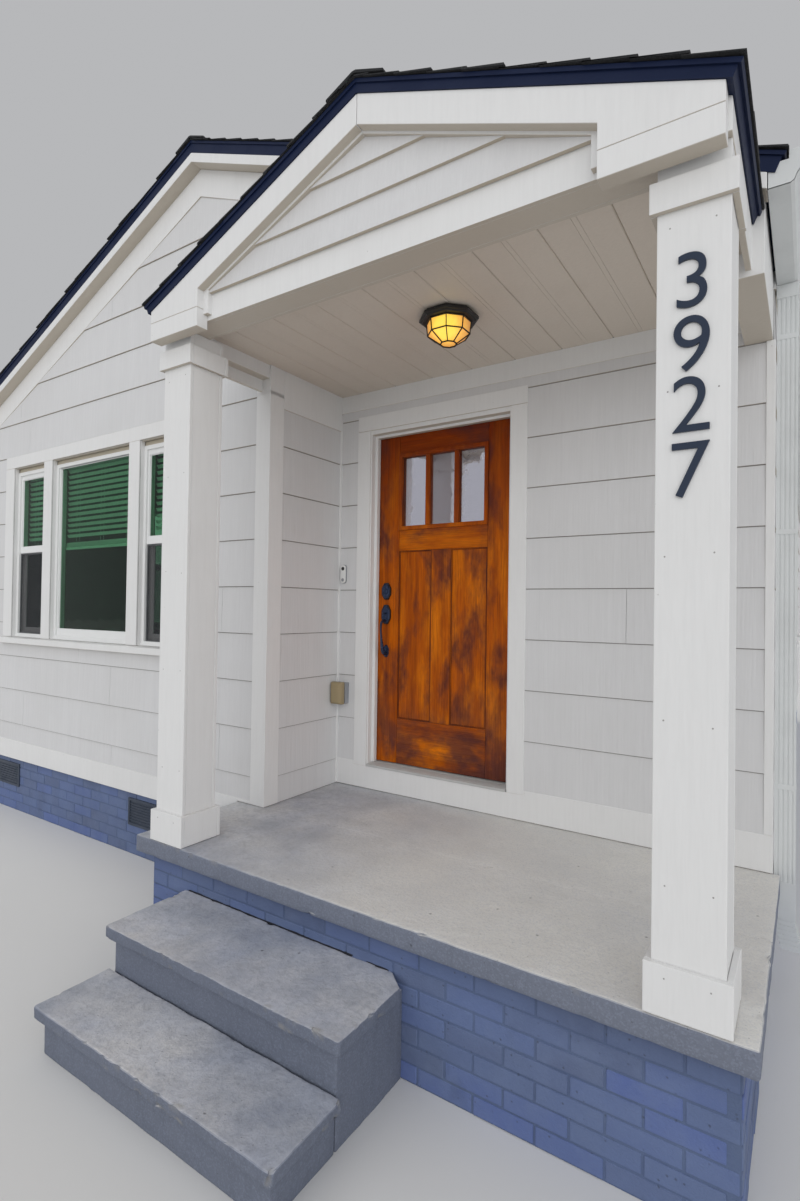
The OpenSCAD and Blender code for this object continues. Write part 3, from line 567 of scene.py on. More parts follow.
def lit_glass(name):
    """Amber seeded glass, brightest where the lamp is."""
    f = Finish(name, (0.62, 0.34, 0.11), 0.3, Emission_Strength=1.0)
    seeds = f.mottle(55, 0.4, 0.7, detail=3)
    f.tint((0.8, 0.52, 0.24), seeds, 0.4)
    f.relief(seeds, 0.0008)
    spot = add(f.tree, "ShaderNodeVectorMath", operation="DISTANCE")
    spot.inputs[1].default_value = LAMP_AT
    f.link(f.place, spot.inputs[0])
    fall = add(f.tree, "ShaderNodeValToRGB")
    fall.color_ramp.elements[0].position = 0.045
    fall.color_ramp.elements[0].color = (0.95, 0.66, 0.06, 1)
    fall.color_ramp.elements[1].position = 0.125
    fall.color_ramp.elements[1].color = (0.30, 0.13, 0.035, 1)
    middle = fall.color_ramp.elements.new(0.078)
    middle.color = (0.72, 0.33, 0.04, 1)
    f.link(spot.outputs["Value"], fall.inputs[0])
    f.link(fall.outputs[0], f.shader.inputs["Emission Color"])
    return f.done()


LEAF_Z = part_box("door_leaf")[0].z
LAMP_LOW, LAMP_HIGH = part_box("ceiling_light")
LAMP_X, LAMP_Y = (LAMP_LOW.x + LAMP_HIGH.x) / 2, (LAMP_LOW.y + LAMP_HIGH.y) / 2
LAMP_AT = (LAMP_X + 0.015, LAMP_Y - 0.055, CEILING_Z - 0.082)

SIDING = siding_paint("siding_paint", (0.69, 0.69, 0.695))
TRIM = trim_paint("trim_paint", (0.77, 0.77, 0.765), 0.2)
CEILING = trim_paint("ceiling_paint", (0.66, 0.585, 0.50), 0.3, 0.0)
# Tan grey strip over each window frame: primer, and painted shade under the head
PRIMER_AND_SHADE = trim_paint("primer_and_painted_shade", (0.46, 0.41, 0.32), 0.3, 0.0)
# Near black walls: painted shade, so rooms behind the glass and gaps between boards read dark
WALL_SHADE = metal_paint("wall_painted_shade", (0.15, 0.145, 0.135), 0.85)
BRICK = brick_paint("brick_paint", (0.112, 0.154, 0.282),
                    ((0.92, 0.86, 0.80), (1, 1, 1), (0.90, 0.94, 1.24)))
MORTAR = brick_paint("mortar_paint", (0.092, 0.128, 0.230))
CONCRETE = concrete_paint("slab_paint", (0.172, 0.192, 0.245), (0.84, 0.815, 0.755), 0.6,
                          (0.38, 0.64), (0.8, 1.8))
STEP = concrete_paint("step_paint", (0.152, 0.172, 0.224), (0.70, 0.685, 0.68), 0.85,
                      (0.35, 0.59))
# Near black: dirt in joints, and painted shade in their gaps
JOINT_DIRT_AND_SHADE = metal_paint("joint_dirt_and_shade", (0.022, 0.023, 0.03), 0.9)
# Dark strips in laps and gaps: painted shadow
GAP_SHADE = metal_paint("lap_shadow", (0.30, 0.29, 0.28), 0.9)
SHINGLE = shingle_finish("shingles")
NAVY = metal_paint("drip_edge_paint", (0.007, 0.014, 0.046), 0.45, Specular_IOR_Level=0.25)
ENAMEL = metal_paint("gutter_enamel", (0.66, 0.68, 0.68), 0.35)
IRON = metal_paint("black_iron", (0.012, 0.012, 0.013), 0.42)
BRONZE = metal_paint("dark_bronze", (0.03, 0.024, 0.02), 0.38, Metallic=0.6)
NUMERAL = metal_paint("numeral_paint", (0.02, 0.032, 0.06), 0.42)
SILL_METAL = metal_paint("sill_metal", (0.56, 0.56, 0.55), 0.42, Metallic=0.2)
NAIL = metal_paint("nail_heads", (0.34, 0.33, 0.32), 0.5)
VINYL = metal_paint("white_vinyl", (0.80, 0.805, 0.80), 0.35, dirt=0.12)
GLASS = clear_glass("window_glass", (0.34, 0.62, 0.44), 0.01, 0.0001, 1.25)
LITE_GLASS = clear_glass("lite_glass", (0.92, 0.91, 1.0), 0.0, 0.0002, 1.5, Metallic=0.62)
BLIND = metal_paint("blind_slats", (0.72, 0.76, 0.72), 0.5, dirt=0.1)
DOOR_UPRIGHT = door_wood("door_wood_upright")
DOOR_LEVEL = door_wood("door_wood_level", level=True)
# Dark copy for mouldings and beads: pooled stain and painted shade
DOOR_DARK = door_wood("door_wood_edges", edge=0.6)
# Less dark cloud, so lighter than the leaf: painted highlight on the raised glazing frame
DOOR_BRIGHT = door_wood("door_wood_frame", cloudy=0.3)
TAN_PLASTIC = metal_paint("tan_plastic", (0.34, 0.27, 0.155), 0.5)
WHITE_PLASTIC = metal_paint("white_plastic", (0.76, 0.76, 0.75), 0.35, dirt=0.1)
FLOOR_WOOD = door_wood("floor_boards")
SCREEN = metal_paint("insect_screen", (0.035, 0.038, 0.042), 0.7, Alpha=0.42)
SCREEN_METAL = metal_paint("screen_frame", (0.09, 0.095, 0.10), 0.45)
VENT = metal_paint("vent_paint", (0.045, 0.058, 0.085), 0.5)
# Bluish black, lighter than the iron: painted sheen of sky on lock and handle
LOCK = metal_paint("black_with_painted_sheen", (0.040, 0.058, 0.115), 0.24, Metallic=0.7)
GREY_PLASTIC = metal_paint("grey_plastic", (0.30, 0.31, 0.33), 0.5)
LAMP_GLASS = lit_glass("amber_glass")

# Solids that stay in sight; the others are replaced by pieces
for finish, nodes in (
        (WALL_SHADE, "wing_wall return_wall entry_wall_left entry_wall_right entry_wall_head"
                    " left_wall right_wall back_wall gable_walls"),
        (MORTAR, "foundation_walls porch_base"), (FLOOR_WOOD, "floor_deck"),
        (TRIM, "pediment_panel"), (CEILING, "porch_ceiling"), (BRONZE, "door_hinges"),
        (LITE_GLASS, "door_glass")):
    for node in nodes.split():
        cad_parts[node].material_slots[0].material = finish


# More ways of making pieces

def outline_block(bm, points, depth, place=Matrix()):
    """Flat outline of a few corners across (x, z), pushed out from one y to another."""
    near = [bm.verts.new(place @ Vector((x, depth[0], z))) for x, z in points]
    shift = place.to_3x3() @ Vector((0, depth[1] - depth[0], 0))
    return near, push(bm, [bm.faces.new(near)], (), shift)


def ring(bm, wall, u, z, width, out):
    """Mitred frame on a wall; its width may differ at sides, foot and head."""
    side, foot, head = width if isinstance(width, tuple) else (width,) * 3
    outer = [(u[0], z[0]), (u[1], z[0]), (u[1], z[1]), (u[0], z[1])]
    inner = [(u[0] + side, z[0] + foot), (u[1] - side, z[0] + foot),
             (u[1] - side, z[1] - head), (u[0] + side, z[1] - head)]
    a, b = ([bm.verts.new(wall @ Vector((x, out[0], level))) for x, level in line]
            for line in (outer, inner))
    faces = [bm.faces.new((a[i], a[(i + 1) % 4], b[(i + 1) % 4], b[i])) for i in range(4)]
    push(bm, faces, (), wall.to_3x3() @ Vector((0, out[1] - out[0], 0)))


def bar(bm, a, b, width, over=0.0):
    """Square bar from one point to another."""
    a, b = Vector(a), Vector(b)
    turn = (b - a).to_track_quat("X", "Z").to_matrix().to_4x4()
    size = Matrix.Diagonal(((b - a).length + over, width, width, 1))
    cube(bm, Matrix.Translation((a + b) / 2) @ turn @ size)


def turned(bm, profile, centre, steps, axis=UP):
    """Turn a profile of (radius, height) about an axis."""
    centre, axis = Vector(centre), Vector(axis)
    side = axis.orthogonal().normalized()
    verts = [bm.verts.new(centre + side * r + axis * h) for r, h in profile]
    edges = [bm.edges.new(pair) for pair in zip(verts, verts[1:])]
    bmesh.ops.spin(bm, geom=verts + edges, cent=centre, axis=axis, angle=math.tau, steps=steps,
                   use_merge=True)
    bmesh.ops.remove_doubles(bm, verts=bm.verts[:], dist=1e-6)


def oval(bm, place, size, depth, taper, segments=32):
    """Oval, round or eight-sided plate on the plane of a frame (x, out, z)."""
    lay = place @ Matrix.Rotation(math.radians(-90), 4, "X")
    flat = 1 / math.cos(math.pi / segments)
    scale = (Matrix.Diagonal((size[0] * flat, size[1] * flat, depth, 1))
             @ Matrix.Rotation(math.pi / segments, 4, "Z"))
    bmesh.ops.create_cone(bm, cap_ends=True, segments=segments, radius1=0.5, radius2=0.5 * taper,
                          depth=1, matrix=lay @ Matrix.Translation((0, 0, depth / 2)) @ scale)


def swept(bm, points, radii):
    """Round rod through some points, with its own radius at each."""
    curve = bpy.data.curves.new("rod", "CURVE")
    curve.dimensions = "3D"
    curve.bevel_depth = 1.0
    curve.bevel_resolution = 3
    curve.use_fill_caps = True
    line = curve.splines.new("NURBS")
    line.points.add(len(points) - 1)
    line.order_u = 4
    line.use_endpoint_u = True
    line.resolution_u = 5
    for point, place, radius in zip(line.points, points, radii):
        point.co = (*place, 1)
        point.radius = radius
    rod = bpy.data.objects.new("rod", curve)
    mesh = bpy.data.meshes.new_from_object(rod)
    bm.from_mesh(mesh)
    bpy.data.objects.remove(rod)
    bpy.data.curves.remove(curve)
    bpy.data.meshes.remove(mesh)
    bmesh.ops.remove_doubles(bm, verts=bm.verts[:], dist=1e-6)


def softened(node, name, material, width):
    """Boards of a node with their edges eased."""
    bm = bmesh.new()
    bm.from_mesh(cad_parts[node].data)
    bmesh.ops.remove_doubles(bm, verts=bm.verts[:], dist=1e-5)
    bmesh.ops.dissolve_limit(bm, angle_limit=0.01, verts=bm.verts[:], edges=bm.edges[:])
    round_edges(bm, width)
    piece(name, bm, material, replaces=(node,))


# Siding boards

BUTT_OUT, TOP_OUT, BOARD_T = 0.0088, 0.0020, 0.007
JOINT, LAP_GAP, SLIVER = 0.0018, 0.0046, 0.004
USUAL_LENGTHS = (2.2, 3.6)


def lay_board(bm, wall, u, z, course):
    """One piece of a tapered board, leaning out to its lower edge."""
    out = [BUTT_OUT - (BUTT_OUT - TOP_OUT) * (level - course) / EXPOSURE for level in z]
    middle = [(a + b) / 2 for a, b in (u, out, z)]
    place = Matrix(((u[1] - u[0], 0, 0, middle[0]),
                    (0, BOARD_T, out[1] - out[0], middle[1] - BOARD_T / 2),
                    (0, 0, z[1] - z[0], middle[2]),
                    (0, 0, 0, 1)))
    cube(bm, wall @ place)


def cut_spans(span, blocked):
    """What is left of a span once the blocked stretches are taken out."""
    spans = [span]
    for low, high in blocked:
        spans = [part for a, b in spans
                 for part in ((a, min(b, low)), (max(a, high), b)) if part[1] - part[0] > SLIVER]
    return spans


def lay_siding(bm, gap_shade, wall, span, levels, holes, seed, lengths=USUAL_LENGTHS):
    """Courses of boards over a wall, round its openings, with random upright joints."""
    rng = random.Random(seed)
    first = math.floor((levels[0] - LAP_Z) / EXPOSURE)
    last = math.ceil((levels[1] - LAP_Z) / EXPOSURE)
    for k in range(first, last):
        course = LAP_Z + k * EXPOSURE
        low, high = max(course, levels[0]), min(course + EXPOSURE, levels[1])
        if high - low < SLIVER:
            continue
        joints, at = [], span[0] - rng.uniform(0, lengths[1])
        while at < span[1]:
            joints.append((at, at + JOINT))
            at += rng.uniform(*lengths)
        if high == course + EXPOSURE:
            # Dark strip behind each lap: painted shadow under the butt
            blocked = [h[0] for h in holes if h[1][0] < high < h[1][1]]
            for a, b in cut_spans(span, blocked):
                wall_block(gap_shade, wall, (a, 0.0003, high - LAP_GAP - 0.001),
                           (b, 0.0012, high + 0.001))
            high -= LAP_GAP
        breaks = sorted({low, high, *(z for h in holes for z in h[1] if low < z < high)})
        for a, b in zip(breaks, breaks[1:]):
            blocked = [h[0] for h in holes if h[1][0] < b - 1e-6 and h[1][1] > a + 1e-6]
            for part in cut_spans(span, blocked + joints):
                lay_board(bm, wall, part, (a, b), course)


def trim_to_gable(bm, drop, middle=0.0, ridge=RIDGE_Z):
    """Cut away what stands over a line that runs down from the ridge on both sides."""
    for side in (-1, 1):
        cut(bm, (middle, 0, ridge - drop), Vector((side * SLOPE, 0, 1)).normalized(), dist=1e-6)


def siding_piece(name, walls, gable=False):
    """Boards of some walls, and the dark strips in their laps: painted shadow lines."""
    boards, gap_shade = bmesh.new(), bmesh.new()
    for wall in walls:
        lay_siding(boards, gap_shade, *wall)
    for bm, finish, part in ((boards, SIDING, "_siding"), (gap_shade, GAP_SHADE, "_gap_shade")):
        if gable:
            trim_to_gable(bm, FRIEZE_DROP - 0.01)
        piece(name + part, bm, finish)


WINDOW_LOW, WINDOW_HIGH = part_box("window_blinds")
WINDOW_H, HEAD_GAP = 1.367, 0.032
WINDOW_Z = WINDOW_HIGH.z + 0.001 - WINDOW_H
WINDOW_X = (WINDOW_LOW.x + WINDOW_HIGH.x) / 2
PICTURE_W, SASH_W, MULLION_W, LEG_W, SIDE_W = 0.985, 0.465, 0.118, 0.132, 0.86
GROUP_W = PICTURE_W + 2 * SASH_W + 2 * MULLION_W
HEAD_CASING, SIDE_CASING, SILL_H, SILL_OUT, HORN = 0.095, 0.09, 0.05, 0.048, 0.01
FRONT_WINDOWS = [(WINDOW_X - GROUP_W / 2 + SASH_W / 2, SASH_W, False),
                 (WINDOW_X, PICTURE_W, True),
                 (WINDOW_X + GROUP_W / 2 - SASH_W / 2, SASH_W, False)]
SIDE_WINDOWS = [WING_Y + y for y in (2.0, 4.5, 7.0)]
BACK_WINDOWS = [-1.5, 1.5]
LEAF_HALF = 0.457
DOOR_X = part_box("door_leaf")[0].x + LEAF_HALF
DOOR_HEAD = 2.739
CASING_IN, CASING_W = 0.47, 0.095
HOLE_LEVELS = (WINDOW_Z - SILL_H / 2, WINDOW_Z + WINDOW_H + HEAD_CASING / 2)


def window_hole(middle, half):
    """Where boards stop at a window: half way under its casing."""
    return (middle - half, middle + half), HOLE_LEVELS


# How far the boards run in under the trim
UNDER = 0.02
corner_in = CORNER_W - UNDER
side_half, door_half = (SIDE_W + SIDE_CASING) / 2, CASING_IN + CASING_W / 2
wall_foot, gable_foot = TRIM_TOP - 0.01, CEILING_Z + 0.03
side_top = RIDGE_Z - SLOPE * HALF_W - ROOF_T - 0.07
side_holes = [window_hole(y, side_half) for y in SIDE_WINDOWS]
siding_piece("front", (
    (FRONT, (LEFT_X + corner_in, CORNER_X - corner_in), (wall_foot, gable_foot),
     [window_hole(WINDOW_X, (GROUP_W + LEG_W) / 2)], 3),
    (FRONT, (LEFT_X + UNDER, HALF_W - 0.05), (gable_foot, RIDGE_Z), (), 5)), gable=True)
siding_piece("entry", (
    (ENTRY, (CORNER_X + 0.009, HALF_W - 0.012), (SLAB_Z + 0.15, CEILING_Z - 0.1),
     [((DOOR_X - door_half, DOOR_X + door_half), (SLAB_Z, DOOR_HEAD + 0.07))], 11, (1.9, 3.2)),
    (RETURN, (WING_Y + corner_in, ENTRY_Y), (SLAB_Z, CEILING_Z - 0.2), (), 12, (5, 6))))
siding_piece("side", (
    (LEFT, (WING_Y + corner_in, BACK_Y - corner_in), (wall_foot, side_top), side_holes, 21),
    (RIGHT, (ENTRY_Y + 0.012, BACK_Y - corner_in), (wall_foot, side_top), side_holes, 22)))
siding_piece("back", (
    (BACK, (LEFT_X + corner_in, HALF_W - corner_in), (wall_foot, gable_foot),
     [window_hole(x, side_half) for x in BACK_WINDOWS], 31),
    (BACK, (LEFT_X + UNDER, HALF_W - UNDER), (gable_foot, RIDGE_Z), (), 32)), gable=True)


# Painted brick

BRICK_L, COURSE_H, JOINT_W, BRICK_OUT = 0.2055, 0.0675, 0.0070, 0.0032


def lay_bricks(bm, wall, span, levels, tone, seed):
    """Running bond over a wall face, each brick a little out of line."""
    rng = random.Random(seed)
    rows = round((levels[1] - levels[0]) / COURSE_H)
    row_h = (levels[1] - levels[0]) / rows
    for row in range(rows):
        z = levels[0] + row * row_h
        at = span[0] - (BRICK_L + JOINT_W) / 2 * (row % 2)
        while at < span[1]:
            a = max(at, span[0]) + JOINT_W / 2
            b = min(at + BRICK_L + JOINT_W, span[1]) - JOINT_W / 2
            at += BRICK_L + JOINT_W
            if b - a < 0.03:
                continue
            out = BRICK_OUT + rng.uniform(-0.0020, 0.0014)
            verts = block(bm, (a, -0.004, z + JOINT_W / 2), (b, out, z + row_h - JOINT_W / 2))
            tilt = Matrix.Rotation(rng.uniform(-0.009, 0.009), 4, "Y")
            middle = Vector(((a + b) / 2, 0, z + row_h / 2))
            bmesh.ops.rotate(bm, cent=middle, matrix=tilt, verts=verts)
            bmesh.ops.transform(bm, matrix=wall, verts=verts)
            mark_faces(verts, tone, rng.random())


def brick_piece(name, levels, walls):
    """Brick faces between two levels, on the wall frames and spans given."""
    bm = bmesh.new()
    tone = bm.faces.layers.float.new("tone")
    for i, (wall, span) in enumerate(walls):
        lay_bricks(bm, wall, span, levels, tone, 40 + i)
    piece(name, bm, BRICK, ease=0.0028)


FOUND_IN = 0.015
base_low, base_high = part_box("porch_base")
slab_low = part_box("porch_slab")[0].z
left_face, right_face, back_face = LEFT_X + FOUND_IN, HALF_W - FOUND_IN, BACK_Y - FOUND_IN
brick_piece("foundation_bricks", (0, FOUND_Z), (
    (to_street(WING_Y + FOUND_IN), (left_face, base_low.x)),
    (to_side(left_face, -1), (WING_Y + FOUND_IN, back_face)),
    (to_side(right_face, 1), (ENTRY_Y, back_face)),
    (to_back(back_face), (left_face, right_face))))
brick_piece("porch_bricks", (0, slab_low), (
    (to_street(base_low.y), (base_low.x, base_high.x)),
    (to_side(base_low.x, -1), (base_low.y, WING_Y)),
    (to_side(base_high.x, 1), (base_low.y, ENTRY_Y))))


# Slab and steps

def worn_block(bm, chip, low, high, radius, rough, cell, seed, chips=0.0, corner_r=0.0,
               clip=0.0):
    """Cast block with rounded, chipped edges and a surface that wanders, inside its box."""
    low, high = Vector(low), Vector(high)
    part = bmesh.new()
    block(part, low + Vector((rough,) * 3), high - Vector((rough,) * 3))
    if corner_r:
        round_edges(part, corner_r, 5, [
            e for e in part.edges if e.verts[0].co.y < low.y + 0.1
            and abs(e.verts[0].co.z - e.verts[1].co.z) > 0.01])
    if clip:
        cut(part, (high.x - clip, high.y - rough, 0), (1, 1.15, 0))
    for axis in range(3):
        cut_up(part, axis, low[axis], high[axis], max(1, round((high[axis] - low[axis]) / cell)))
    corners = [e for e in part.edges if e.calc_face_angle(0) > 0.5]
    round_edges(part, radius, 3, corners)
    middle, marks = (low + high) / 2, []
    for v in part.verts:
        here = v.co.copy()
        shift = noise.noise_vector(here * 11 + Vector((seed, 0, 0))) * 0.65
        shift += noise.noise_vector(here * 37 + Vector((0, seed, 0))) * 0.35
        v.co += Vector([max(-1, min(1, s)) * rough for s in shift])
        sides = sorted(min(here[i] - low[i], high[i] - here[i]) for i in range(3))
        near_edge = max(0.0, 1 - sides[1] / (radius * 1.6 + 0.006))
        bite = noise.noise(here * 17 + Vector((seed, seed, 0))) + 0.6 * noise.noise(here * 57)
        bite = max(0.0, bite - 0.36) * near_edge * chips * 2.6
        v.co += (middle - here).normalized() * bite * 0.022
        marks.append(min(1.0, bite * 2.2) if here.z > high.z - 0.06 else 0.0)
        if v.co.z < low.z + 0.004:
            v.co.z = low.z
    merge(bm, part)
    for v, mark in zip(bm.verts[-len(marks):], marks):
        v[chip] = mark


slab_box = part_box("porch_slab")
slab = bmesh.new()
chip = slab.verts.layers.float.new("chip")
worn_block(slab, chip, slab_box[0], (slab_box[1].x, WING_Y + 0.012, SLAB_Z), 0.007, 0.0022,
           0.024, 2.0, 0.8)
worn_block(slab, chip, (CORNER_X, WING_Y - 0.016, slab_box[0].z),
           (slab_box[1].x, ENTRY_Y, SLAB_Z), 0.003, 0.0022, 0.05, 2.0)
piece("porch_slab_worn", slab, CONCRETE, replaces=("porch_slab",), smooth=True)

TREAD_T, NOSE = 0.05, 0.03
# Near black strip in the joint behind the upper step: dirt, and painted shade in the gap against the
# slab
joint_dirt_and_shade = bmesh.new()
for name, seed, clip in (("upper_step", 3.0, 0.075), ("lower_step", 7.0, 0.0)):
    low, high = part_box(name)
    bm = bmesh.new()
    chip = bm.verts.layers.float.new("chip")
    worn_block(bm, chip, (low.x, low.y, high.z - TREAD_T), high, 0.010, 0.0035, 0.014, seed,
               0.9, 0.012, clip)
    worn_block(bm, chip, (low.x + NOSE, low.y + NOSE, 0),
               (high.x - NOSE, high.y, high.z - TREAD_T + 0.004), 0.004, 0.0025, 0.04, seed + 20)
    piece(name + "_worn", bm, STEP, replaces=(name,), smooth=True)
    if not clip:
        continue
    chip = joint_dirt_and_shade.verts.layers.float.new("chip")
    worn_block(joint_dirt_and_shade, chip, (low.x + 0.02, high.y - 0.009, high.z - 0.03),
               (high.x - clip - 0.01, high.y + 0.003, high.z + 0.006), 0.003, 0.0045, 0.012,
               seed + 40)
piece("step_joint_dirt_and_shade", joint_dirt_and_shade, JOINT_DIRT_AND_SHADE, smooth=True)


# Roofs

SHINGLE_H, SHEET_T = 0.143, 0.0035
ROOF_FALL = math.atan(SLOPE)


def roof_frame(x, z, side):
    """Matrix from roof places (along Y, down the slope, out of the roof) to the house."""
    down = Vector((side * math.cos(ROOF_FALL), 0, -math.sin(ROOF_FALL)))
    out = Vector((side * math.sin(ROOF_FALL), 0, math.cos(ROOF_FALL)))
    turn = Matrix((Vector((0, 1, 0)), down, out)).transposed().to_4x4()
    return Matrix.Translation((x, 0, z)) @ turn


def lay_shingles(bm, roof, span, length, tone, seed):
    """Courses of shingles: a thin sheet with thicker tabs of random widths on it."""
    rng = random.Random(seed)
    courses = math.ceil(length / SHINGLE_H)
    for k in range(courses):
        butt = length - k * SHINGLE_H
        top = max(butt - SHINGLE_H - 0.02, 0.0)
        ragged = rng.uniform(-0.006, 0.004), rng.uniform(-0.004, 0.006)

        def sheet(a, b, lift, short, shade):
            """One sheet or tab, of which the lower edge may fall short of the course's."""
            run = butt - short - top
            if run < 0.01:
                return
            place = Matrix(((b - a, 0, 0, (a + b) / 2), (0, run, 0, (top + butt - short) / 2),
                            (0, lift, SHEET_T, lift / 2 + SHEET_T / 2), (0, 0, 0, 1)))
            mark_faces(cube(bm, roof @ place), tone, shade)

        at, last = span[0] + ragged[0], span[1] + ragged[1]
        sheet(at, last, 0.006, 0, rng.random() * 0.5)
        while at < last:
            width = rng.uniform(0.09, 0.24)
            end = min(at + width, last)
            if rng.random() < 0.62 and end - at > 0.03:
                sheet(at, end, 0.0095, rng.choice((0, 0, 0.004)), 0.3 + rng.random() * 0.7)
            at = end + 0.002


CAP_HALF, CAP_FLAT, CAP_RISE, CAP_T, CAP_FALL = 0.13, 0.008, 0.0198, 0.0085, 0.006


def lay_caps(bm, x, top, span, tone, seed):
    """Cap shingles bent over a ridge, each lapping the one in front of it."""
    rng = random.Random(seed)
    low = CAP_RISE - SLOPE * (CAP_HALF - CAP_FLAT)
    outline = [(-CAP_HALF, low), (-CAP_FLAT, CAP_RISE), (CAP_FLAT, CAP_RISE), (CAP_HALF, low),
               (CAP_HALF, low - CAP_T), (0, CAP_RISE - CAP_T), (-CAP_HALF, low - CAP_T)]
    at = span[0]
    while at < span[1] - 0.01:
        end = min(at + SHINGLE_H + 0.02, span[1])
        near, far = outline_block(bm, [(x + u, top + z) for u, z in outline], (at, end))
        bmesh.ops.translate(bm, vec=(0, 0, -CAP_FALL), verts=far)
        mark_faces(near + far, tone, rng.random())
        at += SHINGLE_H


# How deep the skin lies under the solid's top, stops short of each end, and sets in its deck
ROOF_SINK, ROOF_END, BAND_IN = 0.0205, 0.006, 0.014


def dress_roof(name, x, ridge, eave, span, nodes, thick, seed):
    """Deck, navy edge band and shingles, all under the top of the roof's solids."""
    run, fall = eave / math.cos(ROOF_FALL), math.cos(ROOF_FALL)
    top = ridge - ROOF_SINK
    shingles = bmesh.new()
    tone = shingles.faces.layers.float.new("tone")
    for side in (-1, 1):
        lay_shingles(shingles, roof_frame(x, top, side), span, run, tone, seed + side)
    lay_caps(shingles, x, top, (span[0] - 0.002, span[1]), tone, seed + 9)
    piece(name + "_shingles", shingles, SHINGLE)
    deck = bmesh.new()
    for side in (-1, 1):
        place = roof_frame(x, top, side)
        for inset, short, high, deep in ((BAND_IN, 0.012, 0, thick - ROOF_SINK),
                                         (BAND_IN - 0.006, 0.004, 0.001, 0.016)):
            eave_end = [place @ Vector((0, run - short, -t * fall)) for t in (high, deep)]
            outline = [(x, top - high), *((p.x, p.z) for p in eave_end), (x, top - deep)]
            outline_block(deck, outline, (span[0] + inset, span[1] - inset))
    piece(name + "_deck", deck, NAVY, replaces=nodes)


main_low, main_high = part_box("roof_left")
dress_roof("main_roof", 0.0, RIDGE_Z, HALF_W + EAVE_OUT,
           (main_low.y + ROOF_END, main_high.y - ROOF_END), ("roof_left", "roof_right"), ROOF_T, 60)
porch_low, porch_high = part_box("porch_roof")
dress_roof("porch_roof", PORCH_X, PORCH_RIDGE_Z, (porch_high.x - porch_low.x) / 2,
           (porch_low.y + ROOF_END, WING_Y + 0.01), ("porch_roof",), PORCH_ROOF_T, 70)


# Pediment, rakes and beams

BEAM_FRONT, BEAM_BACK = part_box("front_beam")[0].y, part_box("front_beam")[1].y
BEAM_Z = CEILING_Z - 0.082
SIDE_IN = (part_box("front_beam")[1].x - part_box("front_beam")[0].x) / 2
SIDE_OUT = SIDE_IN + 0.074
RAKE_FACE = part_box("porch_rake_boards")[0].y
RAKE_HALF, RETURN_HALF, RETURN_Z = SIDE_OUT - 0.01, SIDE_OUT - 0.34, CEILING_Z - 0.125
FASCIA_H = 0.114
PEDIMENT_Y = BEAM_FRONT + 0.015
PEDIMENT_LAP, PEDIMENT_STEP = 3.047, 0.1265
SEAT = 0.0002
PORCH = Matrix.Translation((PORCH_X, 0, 0))


def porch_under(x):
    """Height of the porch roof's underside."""
    return PORCH_RIDGE_Z - SLOPE * abs(x) - PORCH_ROOF_T - SEAT


pediment, ped_gap_shade = bmesh.new(), bmesh.new()
ped_frame = to_street(BEAM_FRONT)
for i in range(4):
    course = PEDIMENT_LAP + i * PEDIMENT_STEP
    top = course + PEDIMENT_STEP + 0.004
    place = Matrix(((2.4, 0, 0, PORCH_X), (0, 0.016, -0.014, 0.003),
                    (0, 0, top - course, (top + course) / 2), (0, 0, 0, 1)))
    cube(pediment, ped_frame @ place)
# Dark strip behind the pediment boards: painted shadow line above the beam board
wall_block(ped_gap_shade, ped_frame, (PORCH_X - 1.2, -0.012, PEDIMENT_LAP),
           (PORCH_X + 1.2, -0.008, RIDGE_Z))
for bm in (pediment, ped_gap_shade):
    trim_to_gable(bm, PORCH_ROOF_T + FASCIA_H - 0.03, PORCH_X, PORCH_RIDGE_Z)
    for side in (-1, 1):
        cut(bm, (PORCH_X + side * (RETURN_HALF + 0.02), 0, 0), (side, 0, 0), dist=1e-6)
piece("pediment_siding", pediment, SIDING)
piece("pediment_gap_shade", ped_gap_shade, GAP_SHADE)

rakes = bmesh.new()
seam_z, seam, strip_w = RETURN_Z + 0.085, 0.0012, 0.011
inner, outer = RETURN_HALF - 0.028, RETURN_HALF + 0.01


def fascia_foot(x):
    """Height of the lower edge of the rake board."""
    return porch_under(x) - FASCIA_H


# Rake board, the return at its foot, and the strip behind them that holds the pediment
for outline, depth in (
        (((seam, porch_under(seam)), (RAKE_HALF, porch_under(RAKE_HALF)), (RAKE_HALF, seam_z),
          (RETURN_HALF, seam_z), (RETURN_HALF, fascia_foot(RETURN_HALF)),
          (seam, fascia_foot(seam))), (RAKE_FACE, BEAM_FRONT)),
        (((RETURN_HALF, seam_z - 0.001), (RAKE_HALF, seam_z - 0.001), (RAKE_HALF, RETURN_Z),
          (RETURN_HALF, RETURN_Z)), (RAKE_FACE, BEAM_FRONT)),
        (((0, fascia_foot(0) + 0.01), (outer, fascia_foot(RETURN_HALF) + 0.006),
          (outer, BEAM_Z + 0.02), (inner, BEAM_Z + 0.02),
          (inner, fascia_foot(inner) - strip_w), (0, fascia_foot(0) - strip_w)),
         (BEAM_FRONT - 0.024, PEDIMENT_Y + 0.004))):
    for side in (-1, 1):
        outline_block(rakes, [(side * x, z) for x, z in outline], depth, PORCH)
piece("porch_rakes", rakes, TRIM, replaces=("porch_rake_boards",), ease=0.0014)

